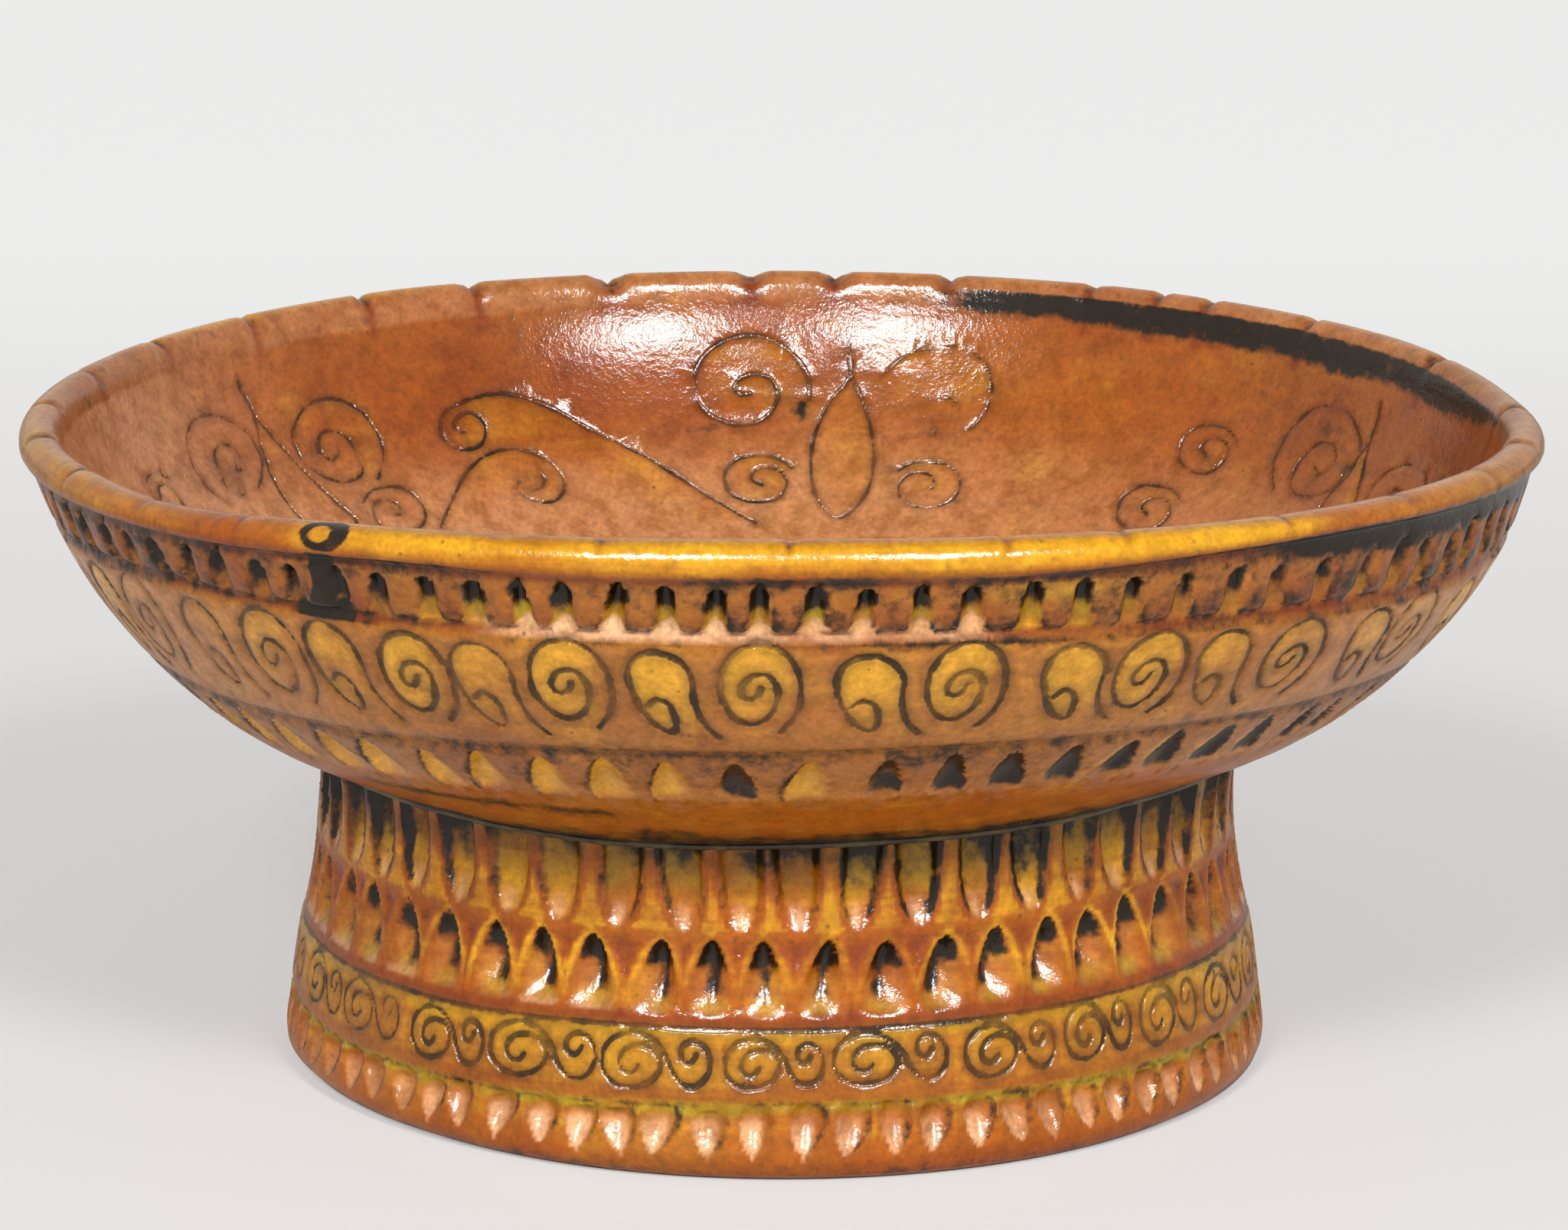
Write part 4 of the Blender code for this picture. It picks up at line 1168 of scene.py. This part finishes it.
# Glaze and clay
glazeLook = {
    "brown": (0.365, 0.124, 0.007), "amber": (0.33, 0.078, 0.001), "gold": (0.62, 0.30, 0.008),
    # pale paints sheen and highlights; dark paints pooled glaze and shade
    "olive": (0.33, 0.25, 0.008), "rust": (0.20, 0.032, 0.003), "pale": (0.74, 0.43, 0.23),
    "dark": (0.012, 0.007, 0.003), "clay": (0.42, 0.17, 0.085), "clayDust": (0.62, 0.36, 0.22),
    "thinSeam": (0.10, 0.075, 0.02),
    "roughness": (0.35, 0.55), "coat": 0.5, "coatRoughness": 0.13, "specular": 0.05,
    "clouds": {  # scale, detail, roughness, and how much each axis is squeezed
        "broad": (26, 5, 0.55), "patchy": (90, 5, 0.6), "blotches": (210, 4, 0.65),
        "streaks": (70, 4, 0.6, (1, 1, 0.22)), "turning": (55, 5, 0.6, (0.22, 0.22, 2.2)),
        "combed": (60, 4, 0.6, (0.35, 0.35, 9)), "grain": (950, 3, 0.65), "murky": (140, 5, 0.65),
        "dabs": (330, 4, 0.7),
    },
    "specks": 300,
    "washes": (  # clouds, where they begin and are full, strength, colour and how much of it
        ("turning", 0.52, 0.7, 0.4, "brown", 0.5), ("combed", 0.5, 0.68, 0.16, "brown", 0.45),
        ("streaks", 0.5, 0.72, 0.3, "rust", 1), ("patchy", 0.52, 0.75, 0.3, "gold", 1),
    ),
    "laid": (  # what the mesh holds, clouds that break it up, where they are thin and full, and the least of it
        ("olive", "patchy", 0.35, 0.6, 0.5), ("pale", "blotches", 0.3, 0.6, 0.6),
        ("rust", "streaks", 0.3, 0.6, 0.6),
    ),
}


def feed(tree, node, values):
    # set a node's sockets: to a value, or from another node's output
    for socket, value in values.items():
        if isinstance(value, bpy.types.NodeSocket):
            tree.links.new(value, node.inputs[socket])
        else:
            node.inputs[socket].default_value = value


def addNode(tree, kind, values=None, **traits):
    node = tree.nodes.new(kind)
    for trait, value in traits.items():
        setattr(node, trait, value)
    feed(tree, node, values or {})
    return node


def mapped(tree, value, low, high, first=0, last=1):
    node = addNode(tree, "ShaderNodeMapRange", {0: value, 1: low, 2: high, 3: first, 4: last})
    node.interpolation_type = "SMOOTHSTEP"
    return node.outputs[0]


def calc(tree, operation, first, second):
    return addNode(tree, "ShaderNodeMath", {0: first, 1: second}, operation=operation).outputs[0]


def tinted(tree, amount, under, over, way="MIX"):
    values = {0: amount, 6: under, 7: over}
    for slot in (6, 7):
        if isinstance(values[slot], tuple):
            values[slot] = (*values[slot][:3], 1)
    return addNode(tree, "ShaderNodeMix", values, data_type="RGBA", blend_type=way).outputs[2]


def deeper(colour, share):
    return tuple(share * part for part in colour)


def clouds(tree, where, scale, detail, roughness, squeeze=None):
    if squeeze:
        where = addNode(tree, "ShaderNodeMapping", {"Vector": where, "Scale": squeeze}).outputs[0]
    values = {"Vector": where, "Scale": scale, "Detail": detail, "Roughness": roughness}
    return addNode(tree, "ShaderNodeTexNoise", values).outputs[0]


def shaderIn(name):
    material = bpy.data.materials.new(name)
    material.use_nodes = True
    tree = material.node_tree
    tree.nodes.clear()
    shader = addNode(tree, "ShaderNodeBsdfPrincipled")
    addNode(tree, "ShaderNodeOutputMaterial", {"Surface": shader.outputs[0]})
    where = addNode(tree, "ShaderNodeTexCoord").outputs["Object"]
    return material, tree, shader, where


def honeyGlaze(name, look):
    material, tree, shader, where = shaderIn(name)
    held = {field: addNode(tree, "ShaderNodeAttribute", attribute_name=field).outputs["Fac"]
            for field in fieldNames}
    noise = {kind: clouds(tree, where, *settings) for kind, settings in look["clouds"].items()}

    def eased(kind, low, high, first=0, last=1):
        return mapped(tree, noise[kind], low, high, first, last)

    def both(operation, first, second):
        return calc(tree, operation, first, second)

    # the glaze itself, from brown to amber, with washes of other tones over it
    tone = both("ADD", eased("broad", 0.35, 0.65, -0.35, 0.35), held["amber"])
    tone = both("ADD", tone, eased("turning", 0.35, 0.65, -0.3, 0.3))
    colour = tinted(tree, mapped(tree, tone, -0.2, 1.1), look["brown"], look["amber"])
    for kind, low, high, strength, shade, share in look["washes"]:
        colour = tinted(tree, eased(kind, low, high, 0, strength), colour, deeper(look[shade], share))
    dirt = both("MULTIPLY", eased("murky", 0.5, 0.72, 0, 0.42), mapped(tree, held["amber"], 0, 0.9, 1, 0.35))
    colour = tinted(tree, dirt, colour, deeper(look["brown"], 0.4))

    # what is laid on by hand: gold slip, then olive and rust-red places, with the painted pale sheen and highlights
    # among them
    fill = both("ADD", held["gold"], eased("patchy", 0.3, 0.7, -0.12, 0.12))
    fill = both("ADD", fill, eased("combed", 0.35, 0.65, 0.06, -0.12))
    colour = tinted(tree, mapped(tree, fill, 0.02, 0.95), colour, look["gold"])
    for field, kind, low, high, least in look["laid"]:
        colour = tinted(tree, both("MULTIPLY", held[field], eased(kind, low, high, least)), colour, look[field])

    # dark glaze pooled in the cuts and lines, painted shade, and dark specks
    ragged = both("ADD", held["lineGap"], eased("blotches", 0.3, 0.7, -0.22, 0.22))
    inLine = mapped(tree, ragged, 0.42, 0.86, 1, 0)
    halo = mapped(tree, held["lineGap"], 0.6, 2.6, 0.34, 0)
    pooled = both("ADD", held["pool"], eased("blotches", 0.3, 0.7, -0.24, 0.24))
    pooled = both("ADD", pooled, eased("dabs", 0.3, 0.7, -0.16, 0.16))
    pooled = both("MAXIMUM", mapped(tree, pooled, 0.12, 0.85), halo)
    darkness = both("MAXIMUM", pooled, both("MULTIPLY", inLine, eased("patchy", 0.35, 0.65, 0.6, 0.96)))
    specks = addNode(tree, "ShaderNodeTexVoronoi", {"Vector": where, "Scale": look["specks"]}).outputs["Distance"]
    spots = both("MULTIPLY", mapped(tree, specks, 0.05, 0.16, 1, 0), eased("patchy", 0.5, 0.62, 0, 0.55))
    colour = tinted(tree, both("MAXIMUM", darkness, spots), colour, look["dark"])
    shade = both("MULTIPLY", eased("grain", 0.25, 0.75, 0.84, 1.16), eased("blotches", 0.3, 0.7, 0.8, 1.18))
    grey = addNode(tree, "ShaderNodeCombineColor", {0: shade, 1: shade, 2: shade}).outputs[0]
    colour = tinted(tree, 1, colour, grey, "MULTIPLY")

    raw = tinted(tree, eased("patchy", 0.3, 0.7), look["clay"], deeper(look["clay"], 0.62))
    gloss = both("ADD", eased("patchy", 0.3, 0.75, *look["roughness"]), both("MULTIPLY", held["bare"], 0.5))
    relief = both("ADD", both("MULTIPLY", noise["blotches"], 0.5), both("MULTIPLY", noise["grain"], 0.3))
    relief = both("SUBTRACT", relief, both("MULTIPLY", inLine, 0.4))
    bump = addNode(tree, "ShaderNodeBump", {"Height": relief, "Strength": 0.55, "Distance": 0.0006}).outputs[0]
    feed(tree, shader, {
        "Base Color": tinted(tree, held["bare"], colour, raw), "Roughness": gloss, "Normal": bump,
        "Coat Normal": bump, "Specular IOR Level": look["specular"], "Coat Weight": look["coat"],
        "Coat Roughness": look["coatRoughness"],
    })
    return material


def thumbedClay(name, look):
    material, tree, shader, where = shaderIn(name)
    patchy = clouds(tree, where, 80, 5, 0.6)
    grain = clouds(tree, where, 900, 3, 0.6)
    colour = tinted(tree, mapped(tree, patchy, 0.3, 0.7), look["clay"], deeper(look["clay"], 0.6))
    colour = tinted(tree, mapped(tree, grain, 0.55, 0.75, 0, 0.35), colour, look["clayDust"])
    bump = addNode(tree, "ShaderNodeBump", {"Height": grain, "Strength": 0.5, "Distance": 0.0005}).outputs[0]
    rough = mapped(tree, patchy, 0.3, 0.7, 0.62, 0.85)
    feed(tree, shader, {"Base Color": colour, "Normal": bump, "Roughness": rough})
    return material


def seamGlaze(name, look):
    material, tree, shader, where = shaderIn(name)
    patchy = clouds(tree, where, 120, 5, 0.6)
    colour = tinted(tree, mapped(tree, patchy, 0.4, 0.7), look["dark"], look["thinSeam"])
    bump = addNode(tree, "ShaderNodeBump", {"Height": patchy, "Strength": 0.4, "Distance": 0.0006}).outputs[0]
    rough = mapped(tree, patchy, 0.3, 0.7, 0.18, 0.4)
    feed(tree, shader, {"Base Color": colour, "Normal": bump, "Roughness": rough})
    return material


print("glazes")
glaze = honeyGlaze("honey glaze", glazeLook)
clay = thumbedClay("thumbed clay", glazeLook)
seam = seamGlaze("pooled seam glaze", glazeLook)
pieces = (
    (bowlPiece, "bowl", "honey_glaze", glaze), (footPiece, "foot", "amber_glaze", glaze),
    (slipPiece, "luting_slip", "dark_slip", seam), (coilPiece, "joint_coil", "bare_clay", clay),
)
for piece, node, slot, finish in pieces:
    piece.data.materials.clear()
    piece.data.materials.append(finish)
    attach(piece, "root")
    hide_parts(node)

# Table, lamps, surroundings and camera
studio = {
    "tableSize": 12, "tableAt": (0, 2, 0), "floor": (0.66, 0.642, 0.635), "floorRoughness": 0.8,
    "fade": (0.05, 1),  # how far behind the bowl the table's painted glow, seen by the camera only, rises to its full
    "glow": (0.84, 0.875), "glowShare": (0.45, 0.93),  # near and far
    "surround": 0.34, "white": 0.95, "room": (1, 0.92, 0.85),
    "backdropLean": (0, -0.55, 1), "backdropTop": (0.6, 0.9),  # the white backdrop goes up higher behind the bowl
    "aim": (0, 0, 0.1), "away": {"windows": 2.4, "panels": 2.45},
    # azimuth, elevation, width, height and power; the panels are seen in the gloss only
    "windows": ((25, 37, 0.5, 0.42, 36), (-20, 37, 0.5, 0.42, 36)),
    "panels": ((24, 37.5, 0.72, 0.46, 62), (-19.5, 37.5, 0.72, 0.46, 62)),
}


def lamp(name, spot, aim, size, power):
    light = bpy.data.lights.new(name, "AREA")
    light.shape = "RECTANGLE"
    light.size, light.size_y = size
    light.energy = power
    holder = bpy.data.objects.new(name, light)
    bpy.context.scene.collection.objects.link(holder)
    turned = (Vector(aim) - Vector(spot)).normalized().to_track_quat("-Z", "Y")
    holder.matrix_world = Matrix.Translation(spot) @ turned.to_matrix().to_4x4()
    return holder


print("studio")
deselectAll()
bpy.ops.mesh.primitive_plane_add(size=studio["tableSize"], location=studio["tableAt"])
table = settle("pale_table")
tableFinish, tableTree, tableShader, where = shaderIn("pale table")
feed(tableTree, tableShader, {"Base Color": (*studio["floor"], 1), "Roughness": studio["floorRoughness"]})
eye = addNode(tableTree, "ShaderNodeLightPath").outputs["Is Camera Ray"]
behind = addNode(tableTree, "ShaderNodeSeparateXYZ", {0: where}).outputs["Y"]
glowing = mapped(tableTree, behind, *studio["fade"], *studio["glow"])
glow = addNode(tableTree, "ShaderNodeEmission", {"Color": (1, 1, 1, 1), "Strength": glowing})
share = calc(tableTree, "MULTIPLY", eye, mapped(tableTree, behind, *studio["fade"], *studio["glowShare"]))
lit = addNode(tableTree, "ShaderNodeMixShader", {0: share, 1: tableShader.outputs[0], 2: glow.outputs[0]})
feed(tableTree, tableTree.nodes["Material Output"], {"Surface": lit.outputs[0]})
table.data.materials.append(tableFinish)

for kind, away in studio["away"].items():
    for number, (azimuth, elevation, wide, tall, power) in enumerate(studio[kind]):
        turn, lift = math.radians(azimuth), math.radians(elevation)
        spot = (away * math.sin(turn) * math.cos(lift), -away * math.cos(turn) * math.cos(lift),
                away * math.sin(lift))
        light = lamp("%s_%d" % (kind, number + 1), spot, studio["aim"], (wide, tall), power)
        light.visible_diffuse = kind == "windows"

world = bpy.data.worlds.new("pale surroundings")
bpy.context.scene.world = world
world.use_nodes = True
worldTree = world.node_tree
worldTree.nodes.clear()
rays = addNode(worldTree, "ShaderNodeLightPath").outputs
seen = calc(worldTree, "MAXIMUM", rays["Is Camera Ray"], rays["Is Glossy Ray"])
seen = calc(worldTree, "MAXIMUM", seen, rays["Is Transmission Ray"])
looking = addNode(worldTree, "ShaderNodeTexCoord").outputs["Generated"]
leaning = {0: looking, 1: studio["backdropLean"]}
rise = addNode(worldTree, "ShaderNodeVectorMath", leaning, operation="DOT_PRODUCT").outputs["Value"]
backdrop = calc(worldTree, "MULTIPLY", seen, mapped(worldTree, rise, *studio["backdropTop"], 1, 0))
strength = mapped(worldTree, backdrop, 0, 1, studio["surround"], studio["white"])
air = tinted(worldTree, rays["Is Camera Ray"], studio["room"], (1, 1, 1))
sky = addNode(worldTree, "ShaderNodeBackground", {"Color": air, "Strength": strength})
addNode(worldTree, "ShaderNodeOutputWorld", {"Surface": sky.outputs[0]})

# measured in the photo: distance in front and height in millimetres, angles in radians, lens in millimetres
view = {"away": 1022.64, "height": 309.55, "tilt": 0.22, "pan": 0.0005, "roll": 0.0037, "lens": 129.18,
        "sensor": 36, "near": 0.01, "far": 50}
panned = np.array([math.sin(view["pan"]), math.cos(view["pan"]), 0])
ahead = panned * math.cos(view["tilt"]) - np.array([0, 0, math.sin(view["tilt"])])
level = np.array([panned[1], -panned[0], 0])
rightwards = math.cos(view["roll"]) * level + math.sin(view["roll"]) * np.cross(level, ahead)
upwards = np.cross(rightwards, ahead)
cameraData = bpy.data.cameras.new("photo view")
cameraData.lens = view["lens"]
cameraData.sensor_width = view["sensor"]
cameraData.clip_start, cameraData.clip_end = view["near"], view["far"]
camera = bpy.data.objects.new("photo_view", cameraData)
bpy.context.scene.collection.objects.link(camera)
pose = Matrix([[rightwards[i], upwards[i], -ahead[i], 0] for i in range(3)] + [[0, 0, 0, 1]])
pose.translation = (0, -view["away"] * mm, view["height"] * mm)
camera.matrix_world = pose
bpy.context.scene.camera = camera
bpy.context.scene.view_settings.view_transform = "Standard"
